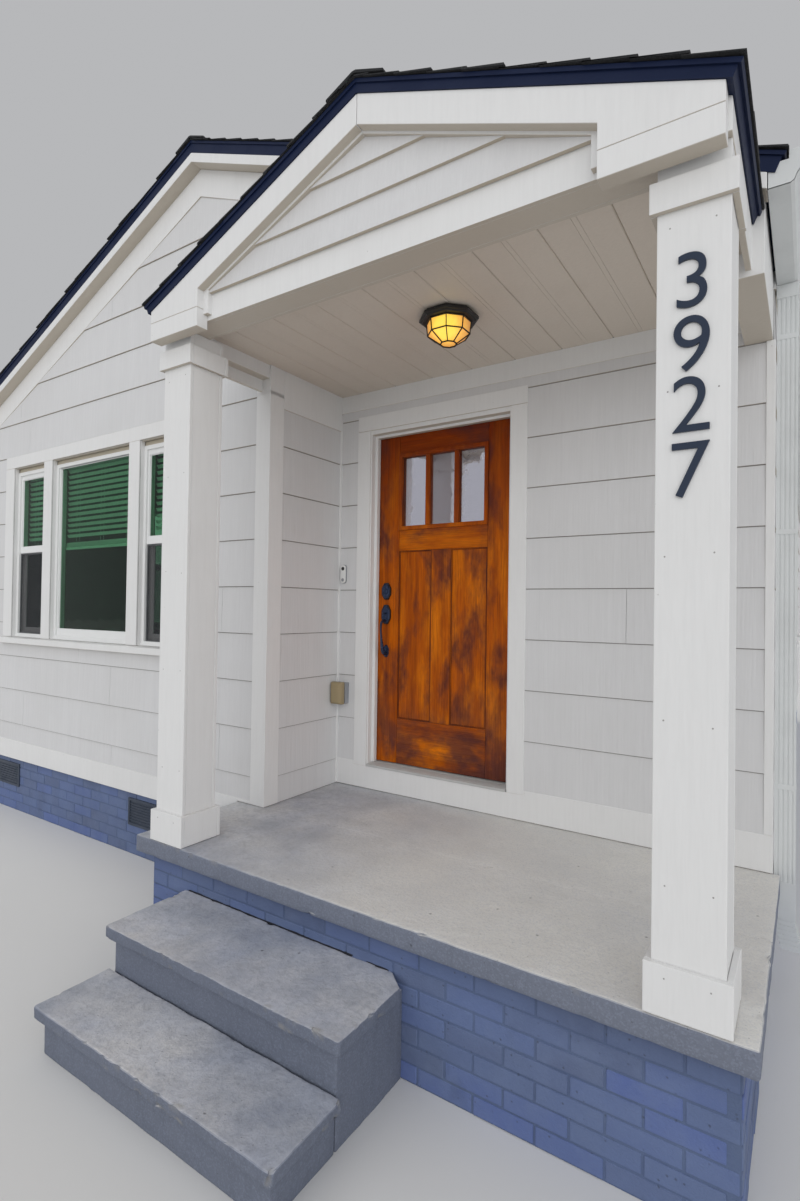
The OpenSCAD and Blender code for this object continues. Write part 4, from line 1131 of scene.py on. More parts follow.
beam = bmesh.new()
core_top = porch_under(SIDE_IN)
for (a, b), (near, far), (foot, top) in (
        ((-SIDE_IN, SIDE_IN), (BEAM_FRONT + 0.019, BEAM_BACK - 0.019), (BEAM_Z + 0.001, core_top)),
        ((-SIDE_IN, SIDE_IN), (BEAM_FRONT, BEAM_FRONT + 0.018), (BEAM_Z, PEDIMENT_LAP + 0.004)),
        ((-SIDE_IN, SIDE_IN), (BEAM_BACK - 0.018, BEAM_BACK), (BEAM_Z, core_top)),
        ((-SIDE_IN, -0.21), (BEAM_FRONT + 0.019, BEAM_BACK - 0.019), (BEAM_Z, BEAM_Z + 0.0015)),
        ((-0.2092, SIDE_IN), (BEAM_FRONT + 0.019, BEAM_BACK - 0.019), (BEAM_Z, BEAM_Z + 0.0015))):
    block(beam, (PORCH_X + a, near, foot), (PORCH_X + b, far, top))
round_edges(beam, 0.0013)
piece("front_beam_boards", beam, TRIM, replaces=("front_beam",))

TRIM_EASE = 0.0016
for node, name in (("side_beams", "side_beam_boards"), ("rake_boards", "main_rakes"),
                   ("corner_boards", "corner_boards_eased"), ("base_trim", "water_table"),
                   ("frieze_boards", "friezes")):
    softened(node, name, TRIM, TRIM_EASE)
corner_top = bmesh.new()
corner_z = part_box("side_beams")[0].z + 0.0005
block(corner_top, (CORNER_X - CORNER_W, WING_Y - TRIM_OUT, corner_z),
      (CORNER_X, WING_Y + 0.001, CEILING_Z + 0.02))
block(corner_top, (CORNER_X - 0.001, WING_Y - TRIM_OUT, corner_z),
      (CORNER_X + TRIM_OUT, WING_Y + CORNER_W - 0.0006, CEILING_Z + 0.0005))
round_edges(corner_top, TRIM_EASE)
piece("corner_top_boards", corner_top, TRIM)
softened("door_frame", "door_frame_eased", TRIM, 0.0014)
softened("foundation_vents", "vent_grilles", VENT, 0.0012)


# Posts and numerals

post_low, post_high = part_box("porch_posts")
BASE_W, POST_W = 0.227, 0.190
POST_Y = post_low.y + BASE_W / 2
POST_XS = (post_low.x + BASE_W / 2, post_high.x - BASE_W / 2)
CAP_LOW, CAP_TOP = BEAM_Z - 0.065 - 0.089, BEAM_Z - 0.065


def boxed(bm, x, y, width, low, top, board=0.018):
    """Box of four boards: the front and back ones cover the edges of the other two."""
    half = width / 2
    gap = half - board - 0.0006
    for s in (-1, 1):
        a, b = sorted((s * half, s * (half - board)))
        block(bm, (x - half, y + a, low), (x + half, y + b, top))
        a, b = sorted((s * (half - 0.0009), s * (half - board)))
        block(bm, (x + a, y - gap, low), (x + b, y + gap, top))


posts = bmesh.new()
for x in POST_XS:
    boxed(posts, x, POST_Y, POST_W, SLAB_Z + 0.002, BEAM_Z)
    boxed(posts, x, POST_Y, BASE_W, SLAB_Z, SLAB_Z + 0.142, 0.0185)
    boxed(posts, x, POST_Y, BASE_W, CAP_LOW, CAP_TOP, 0.0185)
round_edges(posts, 0.0022, 2)
piece("post_boards", posts, TRIM, replaces=("porch_posts",))
nails = bmesh.new()
rng = random.Random(8)
for x in POST_XS:
    for z, inset in [(SLAB_Z + 0.105, 0)] + [(SLAB_Z + 0.35 + i * 0.46, 1) for i in range(5)]:
        for s in (-1, 1):
            front = POST_Y - (POST_W if inset else BASE_W) / 2
            spot = (x + s * (0.062 + rng.uniform(-0.006, 0.006)), front + 0.0004,
                    z + rng.uniform(-0.008, 0.008))
            oval(nails, Matrix.Translation(spot) @ Matrix.Rotation(math.pi, 4, "Z"),
                 (0.0055, 0.0055), 0.0009, 0.7, 8)
piece("post_nails", nails, NAIL)


NUMERAL_X, NUMERAL_H, NUMERAL_T = 2.881, 0.152, 0.006
NUMERAL_TOPS = (2.650, 2.473, 2.305, 2.123)


def numeral(bm, text, top):
    """Plain house numeral, standing on the front of a post."""
    curve = bpy.data.curves.new("numeral", "FONT")
    curve.body = text
    curve.extrude = 0.5
    curve.offset = -0.006
    shape = bpy.data.objects.new("numeral", curve)
    mesh = bpy.data.meshes.new_from_object(shape)
    part = bmesh.new()
    part.from_mesh(mesh)
    bmesh.ops.remove_doubles(part, verts=part.verts[:], dist=1e-5)
    lows = [min(v.co[i] for v in part.verts) for i in range(3)]
    highs = [max(v.co[i] for v in part.verts) for i in range(3)]
    scale = NUMERAL_H / (highs[1] - lows[1])
    for v in part.verts:
        a, b, c = v.co
        v.co = (NUMERAL_X + (a - (lows[0] + highs[0]) / 2) * scale,
                POST_FRONT - (0.002 + NUMERAL_T if c > 0 else 0.0),
                top + (b - highs[1]) * scale)
    mend_normals(part)
    bmesh.ops.dissolve_limit(part, angle_limit=0.01, verts=part.verts[:], edges=part.edges[:])
    merge(bm, part)
    bpy.data.objects.remove(shape)
    bpy.data.curves.remove(curve)
    bpy.data.meshes.remove(mesh)


numbers = bmesh.new()
POST_FRONT = POST_Y - POST_W / 2
for text, top in zip("3927", NUMERAL_TOPS):
    numeral(numbers, text, top)
round_edges(numbers, 0.0012)
piece("house_numerals", numbers, NUMERAL)


# Ceiling planks and floor boards

PLANK_W, PLANK_X, BEAD_HALF, SEAM = 0.2594, 1.0437, 0.01025, 0.0009
planks = bmesh.new()
ceiling_low, ceiling_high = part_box("porch_ceiling")
x = PLANK_X + math.floor((ceiling_low.x - PLANK_X) / PLANK_W) * PLANK_W
while x < ceiling_high.x:
    mid = x + PLANK_W / 2
    for a, b in ((x + SEAM, mid - BEAD_HALF), (mid - BEAD_HALF + SEAM, mid + BEAD_HALF - SEAM),
                 (mid + BEAD_HALF, x + PLANK_W - SEAM)):
        a, b = max(a, ceiling_low.x), min(b, ceiling_high.x)
        if b - a > SLIVER:
            back_y = ENTRY_Y - 0.0105 if b > CORNER_X else WING_Y
            block(planks, (a, ceiling_low.y + 0.001, CEILING_Z - 0.008),
                  (b, back_y, CEILING_Z + 0.004))
    x += PLANK_W
joint_xs = [PLANK_X + i * PLANK_W for i in range(-6, 10)]
round_edges(planks, 0.0034, 1, [e for e in planks.edges if all(v.co.z < CEILING_Z for v in e.verts)
                                and abs(e.verts[0].co.y - e.verts[1].co.y) > 0.5
                                and min(abs(e.verts[0].co.x - j) for j in joint_xs) < 0.002])
piece("ceiling_planks", planks, CEILING)
# Dark blocks at the plank ends against the wall: painted shadow in the gaps
notches = bmesh.new()
x = PLANK_X + math.ceil((CORNER_X + 0.02 - PLANK_X) / PLANK_W) * PLANK_W
while x < ceiling_high.x - 0.02:
    block(notches, (x - 0.0045, ENTRY_Y - 0.0135, CEILING_Z - 0.0075),
          (x + 0.0045, ENTRY_Y - 0.0102, CEILING_Z - 0.002))
    x += PLANK_W
piece("plank_end_gap_shade", notches, GAP_SHADE)

boards = bmesh.new()
rng = random.Random(4)
deck_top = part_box("floor_deck")[1].z
x, board_w = LEFT_X + 0.125, 0.14
while x < HALF_W - 0.125:
    y = (WING_Y if x + board_w < CORNER_X - 0.12 else ENTRY_Y) + 0.125
    end = min(x + board_w, HALF_W - 0.122)
    first = rng.uniform(0.8, 2.4)
    while y < BACK_Y - 0.125:
        stop = min(y + first, BACK_Y - 0.122)
        if stop - y > 0.05:
            block(boards, (x + 0.0006, y, deck_top + 0.0004),
                  (end - 0.0006, stop - 0.0012, deck_top + 0.009))
        y, first = stop, 2.4
    x += board_w
round_edges(boards, 0.0012)
piece("floor_boards", boards, FLOOR_WOOD)


# Casings and windows

FRAME_FACE = -0.027
WINDOWS = [(FRONT, x, w, fixed) for x, w, fixed in FRONT_WINDOWS]
for wall, middles in ((LEFT, SIDE_WINDOWS), (RIGHT, SIDE_WINDOWS), (BACK, BACK_WINDOWS)):
    WINDOWS += [(wall, middle, SIDE_W, False) for middle in middles]
OPEN_Z, RAIL_Z = WINDOW_Z + WINDOW_H, WINDOW_Z + 0.700
TOP_Z = OPEN_Z - HEAD_GAP
CASING_FOOT, CASING_HEAD = 0.676, 2.764
casing = bmesh.new()


def casing_set(wall, openings, side):
    """Legs, mullion boards, head and sill round one or more openings."""
    edges = [(x - w / 2, x + w / 2) for x, w in openings]
    first, last = edges[0][0], edges[-1][1]
    spans = [(first - side, first)] + [(a[1], b[0]) for a, b in zip(edges, edges[1:])]
    for a, b in spans + [(last, last + side)]:
        wall_block(casing, wall, (a, 0, WINDOW_Z), (b, TRIM_OUT, OPEN_Z - 0.0003))
    wall_block(casing, wall, (first - side, 0, OPEN_Z),
               (last + side, TRIM_OUT, OPEN_Z + HEAD_CASING))
    for u in edges:
        ring(casing, wall, u, (WINDOW_Z, OPEN_Z), 0.004, (FRAME_FACE - 0.002, -0.0004))
    sill = wall_block(casing, wall, (first - side - HORN, -0.012, WINDOW_Z - SILL_H),
                      (last + side + HORN, SILL_OUT, WINDOW_Z))
    edge = [v for v in sill if (wall.inverted() @ v.co).y > 0 and v.co.z > WINDOW_Z - 0.01]
    bmesh.ops.translate(casing, vec=(0, 0, -0.007), verts=edge)


casing_set(FRONT, [(x, w) for x, w, _ in FRONT_WINDOWS], LEG_W)
for wall, middle, width, fixed in WINDOWS[3:]:
    casing_set(wall, [(middle, width)], SIDE_CASING)
for s in (-1, 1):
    a, b = sorted((DOOR_X + s * CASING_IN, DOOR_X + s * (CASING_IN + CASING_W)))
    wall_block(casing, ENTRY, (a, 0, CASING_FOOT), (b, TRIM_OUT, CASING_HEAD - 0.0005))
wall_block(casing, ENTRY, (DOOR_X - CASING_IN - CASING_W, 0, CASING_HEAD + 0.0005),
           (DOOR_X + CASING_IN + CASING_W, TRIM_OUT, CASING_HEAD + CASING_W))
piece("casing_boards", casing, TRIM, replaces=("casings",), ease=TRIM_EASE)

joinery, panes, mesh_sheets, screen_frames, fillers = (bmesh.new() for _ in range(5))
FRAME_W = 0.028
for wall, x, w, fixed in WINDOWS:
    u, z = (x - w / 2 + 0.0005, x + w / 2 - 0.0005), (WINDOW_Z + 0.0005, TOP_Z)
    wall_block(fillers, wall, (u[0], FRAME_FACE - 0.03, TOP_Z),
               (u[1], FRAME_FACE - 0.006, OPEN_Z - 0.004))
    ring(joinery, wall, u, z, FRAME_W, (-0.095, FRAME_FACE))
    wall_block(joinery, wall, (u[0], -0.06, z[0]), (u[1], FRAME_FACE + 0.007, z[0] + 0.017))
    inner = (u[0] + FRAME_W - 0.003, u[1] - FRAME_W + 0.003)
    if fixed:
        ring(joinery, wall, inner, (z[0] + 0.025, z[1] - 0.025), (0.012, 0.052, 0.003),
             (-0.078, -0.038))
        ring(joinery, wall, (inner[0] + 0.010, inner[1] - 0.010), (z[0] + 0.075, z[1] - 0.026),
             0.008, (-0.070, -0.045))
        wall_block(panes, wall, (inner[0] + 0.014, -0.058, z[0] + 0.079),
                   (inner[1] - 0.014, -0.053, z[1] - 0.028))
        continue
    upper, lower = (RAIL_Z - 0.024, z[1] - 0.025), (z[0] + 0.025, RAIL_Z + 0.004)
    for span, widths, face in ((upper, (0.018, 0.050, 0.036), -0.040),
                               (lower, (0.034, 0.048, 0.034), -0.066)):
        ring(joinery, wall, inner, span, widths, (face - 0.024, face))
        side, foot, head = widths
        across = inner[0] + side - 0.002, inner[1] - side + 0.002
        up = span[0] + foot - 0.002, span[1] - head + 0.002
        ring(joinery, wall, across, up, 0.007, (face - 0.018, face - 0.006))
        wall_block(panes, wall, (across[0] + 0.002, face - 0.016, up[0] + 0.002),
                   (across[1] - 0.002, face - 0.011, up[1] - 0.002))
    ring(screen_frames, wall, (inner[0] + 0.004, inner[1] - 0.004),
         (z[0] + 0.027, RAIL_Z - 0.026), 0.010, (-0.052, -0.042))
    wall_block(mesh_sheets, wall, (inner[0] + 0.012, -0.0475, z[0] + 0.035),
               (inner[1] - 0.012, -0.0468, RAIL_Z - 0.034))
piece("head_fillers", fillers, PRIMER_AND_SHADE)
piece("window_joinery", joinery, VINYL, replaces=("window_frames",), ease=0.0013)
piece("window_panes", panes, GLASS, replaces=("window_glass",))
piece("screen_frames", screen_frames, SCREEN_METAL, ease=0.0013)
piece("insect_screens", mesh_sheets, SCREEN)

blinds = bmesh.new()
BLIND_DROP, SLAT_STEP, SLAT_TILT = 0.65, 0.0415, math.radians(62)
for x, w, fixed in FRONT_WINDOWS:
    half, back = w / 2 - 0.03, -0.097 - 0.0125
    wall_block(blinds, FRONT, (x - half, back - 0.012, TOP_Z - 0.03),
               (x + half, back + 0.0115, TOP_Z - 0.001))
    low = TOP_Z - BLIND_DROP
    wall_block(blinds, FRONT, (x - half, back - 0.0115, low + 0.001),
               (x + half, back + 0.0115, low + 0.022))
    for i in range(4):
        wall_block(blinds, FRONT, (x - half, back - 0.0105, low + 0.026 + i * 0.008),
                   (x + half, back + 0.0105, low + 0.031 + i * 0.008))
    z = TOP_Z - 0.045
    while z > low + 0.072:
        place = (FRONT @ Matrix.Translation((x, back, z)) @ Matrix.Rotation(SLAT_TILT, 4, "X")
                 @ Matrix.Diagonal((2 * half, 0.0245, 0.0011, 1)))
        cube(blinds, place)
        z -= SLAT_STEP
    for cord in ([-0.32, 0, 0.32] if fixed else [-0.09, 0.09]):
        for shift in (-0.0117, 0.0117):
            bar(blinds, FRONT @ Vector((x + cord, back + shift, low + 0.01)),
                FRONT @ Vector((x + cord, back + shift, TOP_Z - 0.02)), 0.0014)
piece("slatted_blinds", blinds, BLIND, replaces=("window_blinds",))


# Entry door

LEAF_FACE, LEAF_T, LEAF_H = ENTRY_Y + 0.076, 0.044, 2.032
LITE_W, LITE_GAP, LITE_H, LITE_TOP = 0.165, 0.031, 0.425, 0.145
PANEL_W, PANEL_GAP, PANEL_H, PANEL_UP, SUNK = 0.235, 0.130, 1.035, 0.275, 0.009
PANEL_EDGE = PANEL_GAP / 2 + PANEL_W
LEAF = Matrix.Translation((DOOR_X, LEAF_FACE, LEAF_Z))
lites_half = 1.5 * LITE_W + LITE_GAP
lite_z = LEAF_H - LITE_TOP - LITE_H
uprights, rails, stops, mould = (bmesh.new() for _ in range(4))
board_marks = {bm: bm.faces.layers.float.new("board") for bm in (uprights, rails, stops)}
marks = random.Random(15)


def door_board(bm, x, z, y=(0.0, LEAF_T)):
    """One board of the leaf: across, up and through it."""
    verts = block(bm, (x[0], y[0], z[0]), (x[1], y[1], z[1]))
    bmesh.ops.transform(bm, matrix=LEAF, verts=verts)
    mark_faces(verts, board_marks[bm], marks.uniform(0, 9))


for s in (-1, 1):
    a, b = sorted((s * (PANEL_EDGE + SEAM), s * LEAF_HALF))
    door_board(uprights, (a, b), (0, LEAF_H))
    a, b = sorted((s * (PANEL_GAP / 2 - 0.004), s * (PANEL_EDGE + 0.004)))
    door_board(uprights, (a, b), (PANEL_UP - 0.004, PANEL_UP + PANEL_H + 0.004),
               (SUNK, LEAF_T - SUNK))
door_board(uprights, (-PANEL_GAP / 2, PANEL_GAP / 2), (PANEL_UP + SEAM, PANEL_UP + PANEL_H - SEAM))
for z in ((0, PANEL_UP), (PANEL_UP + PANEL_H, lite_z), (LEAF_H - LITE_TOP, LEAF_H)):
    door_board(rails, (-PANEL_EDGE, PANEL_EDGE), z)
for s in (-1, 1):
    a, b = sorted((s * lites_half, s * PANEL_EDGE))
    door_board(uprights, (a, b), (lite_z + SEAM, LEAF_H - LITE_TOP - SEAM))
    c = s * (LITE_W + LITE_GAP) / 2
    door_board(stops, (c - LITE_GAP / 2, c + LITE_GAP / 2), (lite_z, LEAF_H - LITE_TOP),
               (-0.006, LEAF_T + 0.002))
glazing = to_street(LEAF_FACE, DOOR_X, LEAF_Z)
GLAZING_HALF, STOP_W = 0.3035, 0.025
ring(stops, glazing, (-GLAZING_HALF, GLAZING_HALF), (lite_z - STOP_W, LEAF_H - LITE_TOP + STOP_W),
     STOP_W, (0, 0.010))
for s in (-1, 1):
    a, b = sorted((s * PANEL_GAP / 2, s * PANEL_EDGE))
    for out in ((-SUNK - 0.001, -0.003), (-LEAF_T + 0.003, -LEAF_T + SUNK + 0.001)):
        ring(mould, glazing, (a, b), (PANEL_UP, PANEL_UP + PANEL_H), 0.0085, out)
piece("door_panel_mouldings", mould, DOOR_DARK, "door", ease=0.003, segments=2)
piece("door_uprights", uprights, DOOR_UPRIGHT, "door", replaces=("door_leaf",),
      ease=0.0022, segments=2)
piece("door_rails", rails, DOOR_LEVEL, "door", ease=0.0022, segments=2)
piece("door_glazing_stops", stops, DOOR_BRIGHT, "door", ease=0.004, segments=2)

beads = bmesh.new()
for i in (-1, 0, 1):
    c = i * (LITE_W + LITE_GAP)
    for out in ((-0.0155, -0.0105), (-LEAF_T + 0.0105, -LEAF_T + 0.0155)):
        ring(beads, glazing, (c - LITE_W / 2 - 0.001, c + LITE_W / 2 + 0.001),
             (lite_z - 0.001, lite_z + LITE_H + 0.001), 0.0035, out)
piece("lite_beads", beads, DOOR_DARK, "door")

knuckles = bmesh.new()
HINGE_X, HINGE_Y, HINGE_LEVELS = DOOR_X + 0.46, ENTRY_Y + 0.127, (0.22, 0.966, 1.712)
PIN_R, KNUCKLE_R, KNUCKLE_HALF = 0.0038, 0.007, 0.019
for level in HINGE_LEVELS:
    z = LEAF_Z + level
    turned(knuckles, [(PIN_R, -KNUCKLE_HALF), (KNUCKLE_R, -KNUCKLE_HALF),
                      (KNUCKLE_R, KNUCKLE_HALF), (PIN_R, KNUCKLE_HALF), (PIN_R, -KNUCKLE_HALF)],
           (HINGE_X, HINGE_Y, z), 20)
    block(knuckles, (HINGE_X - 0.026, ENTRY_Y + 0.1195, z - KNUCKLE_HALF),
          (HINGE_X - 0.0062, ENTRY_Y + 0.123, z + KNUCKLE_HALF))
piece("leaf_knuckles", knuckles, BRONZE, "door")

LOCK_X, HANDLE_Z = DOOR_X - LEAF_HALF + 0.07, LEAF_Z + 0.916
BOLT_Z = HANDLE_Z + 0.144


def on_leaf(bm, z, out, size, depth, taper, segments=32):
    """Plate of the lock or handle, standing off the street side of the leaf."""
    oval(bm, to_street(LEAF_FACE - out, LOCK_X, z), size, depth, taper, segments)


rim, bolt, grip = (bmesh.new() for _ in range(3))
# Black iron rims set off the lighter faces, whose colour is painted sheen
for z, height in ((BOLT_Z, 0.106), (HANDLE_Z, 0.122)):
    on_leaf(rim, z, 0, (0.068, height), 0.011, 0.97, 8)
piece("lock_rims", rim, IRON, "door", smooth=True, ease=0.0016, segments=2)
on_leaf(bolt, BOLT_Z, 0.010, (0.060, 0.096), 0.008, 0.84, 8)
on_leaf(bolt, BOLT_Z, 0.017, (0.038, 0.038), 0.006, 0.90)
on_leaf(bolt, BOLT_Z, 0.022, (0.026, 0.026), 0.002, 0.80)
room_face = LEAF_FACE + LEAF_T
oval(bolt, wall_frame((LOCK_X, room_face, BOLT_Z), (-1, 0, 0), (0, 1, 0)), (0.06, 0.06), 0.014,
     0.86)
block(bolt, (LOCK_X - 0.005, room_face + 0.013, BOLT_Z - 0.02),
      (LOCK_X + 0.005, room_face + 0.029, BOLT_Z + 0.02))
mend_normals(bolt)
round_edges(bolt, 0.0016, 2)
block(bolt, (LOCK_X - 0.0011, LEAF_FACE - 0.0218, BOLT_Z - 0.006),
      (LOCK_X + 0.0011, LEAF_FACE - 0.0205, BOLT_Z + 0.006))
piece("deadbolt_made", bolt, LOCK, "door", replaces=("deadbolt",), smooth=True)

on_leaf(grip, HANDLE_Z, 0.010, (0.060, 0.112), 0.008, 0.82, 8)
on_leaf(grip, HANDLE_Z - 0.230, 0, (0.042, 0.078), 0.008, 0.85, 8)
# The pull, from its head down to its foot: out from the leaf, below the lock, and its radius
PULL = ((0.012, 0.040, 0.010), (0.045, 0.038, 0.009), (0.062, 0.058, 0.008),
        (0.062, 0.095, 0.0058), (0.056, 0.140, 0.0065), (0.047, 0.185, 0.009),
        (0.040, 0.222, 0.0125), (0.026, 0.246, 0.0125), (0.004, 0.244, 0.013))
swept(grip, [(LOCK_X, LEAF_FACE - out, HANDLE_Z - down) for out, down, _ in PULL],
      [radius for _, _, radius in PULL])
KNOB = ((0.0, 0.0), (0.013, 0.0), (0.012, 0.026), (0.014, 0.032), (0.0265, 0.042),
        (0.027, 0.050), (0.022, 0.060), (0.010, 0.0645), (0.0, 0.065))
turned(grip, KNOB, (LOCK_X, room_face + 0.009, HANDLE_Z), 28, axis=(0, 1, 0))
bmesh.ops.create_uvsphere(grip, u_segments=16, v_segments=10, radius=0.5,
                          matrix=Matrix.Translation((LOCK_X, LEAF_FACE - 0.027, HANDLE_Z + 0.006))
                          @ Matrix.Rotation(math.radians(-12), 4, "X")
                          @ Matrix.Diagonal((0.028, 0.036, 0.008, 1)))
piece("handle_set", grip, LOCK, "door", replaces=("door_handle",), smooth=True)

sill = bmesh.new()
sill_low, sill_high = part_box("door_sill")
block(sill, sill_low, (sill_high.x, sill_high.y, sill_high.z - 0.005))
for i in range(9):
    y, down = sill_low.y + 0.012 + i * 0.0135, 0.002 if i < 5 else 0
    block(sill, (sill_low.x, y, sill_high.z - 0.006), (sill_high.x, y + 0.008, sill_high.z - down))
piece("ribbed_sill", sill, SILL_METAL, replaces=("door_sill",), ease=0.0012)


# Gutters and downspouts

WALL_LINE = HALF_W + TRIM_OUT
GUTTER_Z = RIDGE_Z - SLOPE * (HALF_W + EAVE_OUT) - 0.04 - 0.084 - 0.003
GUTTER_PROFILE = ((0.0015, 0.083), (0.0015, 0.001), (0.068, 0.001), (0.079, 0.008),
                  (0.086, 0.026), (0.096, 0.041), (0.110, 0.052), (0.116, 0.066),
                  (0.116, 0.110), (0.112, 0.1125), (0.105, 0.1125), (0.105, 0.106))
PIPE_X, PIPE_W, PIPE_D = 0.004, 0.078, 0.058
FLUTES = (9, 7)
STRAP_LEVELS, STRAP_H = (0.9, 2.0, 2.85), 0.022


def gutter_frame(side):
    """Matrix from places at the right eave to either eave."""
    return Matrix.Diagonal((side, 1, 1, 1)) @ Matrix.Translation((WALL_LINE, 0, GUTTER_Z))


gutters = bmesh.new()
y0, y1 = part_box("gutters")[0].y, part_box("gutters")[1].y
for side in (-1, 1):
    turn = gutter_frame(side)
    verts = [gutters.verts.new(turn @ Vector((x, y0, z))) for x, z in GUTTER_PROFILE]
    edges = [gutters.edges.new(pair) for pair in zip(verts, verts[1:])]
    push(gutters, (), edges, (0, y1 - y0, 0))
mend_normals(gutters)
bmesh.ops.solidify(gutters, geom=gutters.faces[:], thickness=0.0014)
for side, pipe_y, foot in ((-1, WING_Y + 0.06, 0.06), (1, ENTRY_Y + 0.02, 0.218)):
    turn = gutter_frame(side)
    end = [*GUTTER_PROFILE[:-2], (0.063, 0.1125), (0.063, 0.083)]
    for y in (y0, y1 - 0.003):
        outline_block(gutters, end, (y, y + 0.003), turn)
    y = y0 + 0.3
    while y < y1:
        verts = block(gutters, (0.064, y, 0.098), (0.108, y + 0.025, 0.104))
        bmesh.ops.transform(gutters, matrix=turn, verts=verts)
        y += 0.6
    x0, x1, pipe_back, pipe = PIPE_X, PIPE_X + PIPE_W, pipe_y + PIPE_D, bmesh.new()

    def around(low, high, left, right, near, far):
        """Block round the pipe: how far it stands out on each side."""
        block(pipe, (x0 - left, pipe_y - near, low), (x1 + right, pipe_back + far, high))

    around(foot + 0.27 - GUTTER_Z, -SEAT, 0, 0, 0, 0)
    cut_up(pipe, 0, x0, x1, FLUTES[0])
    cut_up(pipe, 1, pipe_y, pipe_back, FLUTES[1])
    pipe.normal_update()
    flutes = []
    for f in pipe.faces:
        across = f.calc_center_median()
        if abs(f.normal.z) > 0.5:
            continue
        if abs(f.normal.y) > 0.5:
            number = int((across.x - x0) / (PIPE_W / FLUTES[0]))
        else:
            number = int((across.y - pipe_y) / (PIPE_D / FLUTES[1]))
        if number % 2 == 1:
            flutes.append(f)
    bmesh.ops.inset_individual(pipe, faces=flutes, thickness=0.0016, depth=-0.0026,
                               use_even_offset=True)
    shoe = foot - GUTTER_Z
    around(shoe + 0.13, shoe + 0.287, 0.001, 0.001, 0.001, 0.001)
    for i in range(13):
        kick, wide, down = 0.0022 * max(0, i - 1), 0.0006 if i % 2 else -0.0014, i * 0.0098
        around(shoe + 0.118 - down, shoe + 0.132 - down, wide - kick, wide + kick, wide, wide)
    for z in STRAP_LEVELS:
        around(z - GUTTER_Z, z + STRAP_H - GUTTER_Z, *(0.0014,) * 4)
    around(-0.06, -SEAT, 0.003, 0.002, 0.002, 0.002)
    bmesh.ops.transform(pipe, matrix=turn, verts=pipe.verts[:])
    merge(gutters, pipe)
piece("gutters_made", gutters, ENAMEL, replaces=("gutters",))


# Ceiling light

def corner(radius, drop, i):
    """Corner of an eight-sided ring under the ceiling, half a side round from the axis."""
    turn = math.radians(22.5) + i * math.tau / 8
    return Vector((LAMP_X + radius * math.cos(turn), LAMP_Y + radius * math.sin(turn),
                   CEILING_Z - drop))


def eight_sided(bm, profile):
    """Eight-sided shape under the ceiling from a profile of (radius, drop)."""
    verts = [bm.verts.new(corner(r, drop, 0)) for r, drop in profile]
    edges = [bm.edges.new(pair) for pair in zip(verts, verts[1:])]
    bmesh.ops.spin(bm, geom=verts + edges, cent=(LAMP_X, LAMP_Y, CEILING_Z), axis=UP,
                   angle=math.tau, steps=8, use_merge=True)
    bmesh.ops.remove_doubles(bm, verts=bm.verts[:], dist=1e-6)
    mend_normals(bm)


cap = bmesh.new()
eight_sided(cap, [(0.0, 0.0085), (0.122, 0.0085), (0.126, 0.009), (0.1265, 0.016),
                  (0.1385, 0.020), (0.1395, 0.031), (0.128, 0.0345), (0.1265, 0.040),
                  (0.112, 0.042), (0.105, 0.042), (0.104, 0.036), (0.0, 0.036)])
round_edges(cap, 0.0012, 2)
for drop_a, drop_b, ra, rb in ((0.038, 0.098, 0.105, 0.098), (0.098, 0.139, 0.098, 0.038)):
    for i in range(8):
        bar(cap, corner(ra, drop_a, i), corner(rb, drop_b, i), 0.0042, over=0.002)
for radius, drop, wide in ((0.0985, 0.098, 0.0046), (0.038, 0.140, 0.005), (0.105, 0.044, 0.006)):
    for i in range(8):
        bar(cap, corner(radius, drop, i), corner(radius, drop, i + 1), wide, over=wide * 0.6)
piece("lamp_cage", cap, IRON, replaces=("ceiling_light",))

glass_shade = bmesh.new()
eight_sided(glass_shade, [(0.0, 0.038), (0.102, 0.038), (0.0945, 0.098), (0.036, 0.1375),
                          (0.0, 0.1385)])
piece("amber_panels", glass_shade, LAMP_GLASS, replaces=("light_globe",))


# Doorbell and outlet cover

BELL_W, BELL_H, BELL_T, BELL_FACE = 0.044, 0.118, 0.0225, 0.006
low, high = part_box("doorbell")
bell_x, bell_z = (low.x + high.x) / 2 + 0.015, (low.z + high.z) / 2 - 0.010
bell_frame = to_street(ENTRY_Y, bell_x, bell_z)


def bell_block(bm, inset, out):
    """Block with well rounded ends on the wall at the bell."""
    start = len(bm.verts)
    wall_block(bm, bell_frame, (inset - BELL_W / 2, out[0], inset - BELL_H / 2),
               (BELL_W / 2 - inset, out[1], BELL_H / 2 - inset))
    bm.verts.ensure_lookup_table()
    fresh = set(bm.verts[start:])
    deep = (out[1] - out[0]) * 0.9
    round_edges(bm, BELL_W * 0.42, 6, [
        e for e in bm.edges if set(e.verts) <= fresh
        and abs(e.verts[0].co.y - e.verts[1].co.y) > deep])


def bell_disc(name, z, width, thick, material):
    """Small round piece on the face of the bell."""
    bm = bmesh.new()
    place = bell_frame @ Matrix.Translation((0, BELL_T - 0.0004, z))
    oval(bm, place, (width, width), thick, 0.9)
    piece(name, bm, material, smooth=True)


bell_back, bell = bmesh.new(), bmesh.new()
bell_block(bell_back, 0.0, (0, BELL_T - BELL_FACE))
piece("doorbell_body", bell_back, GREY_PLASTIC, replaces=("doorbell",), smooth=True,
      ease=0.0008)
bell_disc("doorbell_eye", BELL_H / 2 - 0.024, 0.024, 0.0016, IRON)
bell_block(bell, 0.0012, (BELL_T - BELL_FACE - 0.0005, BELL_T))
piece("doorbell_face", bell, WHITE_PLASTIC, smooth=True, ease=0.0022, segments=2)
bell_disc("doorbell_button", 0.022 - BELL_H / 2, 0.022, 0.0018, GREY_PLASTIC)

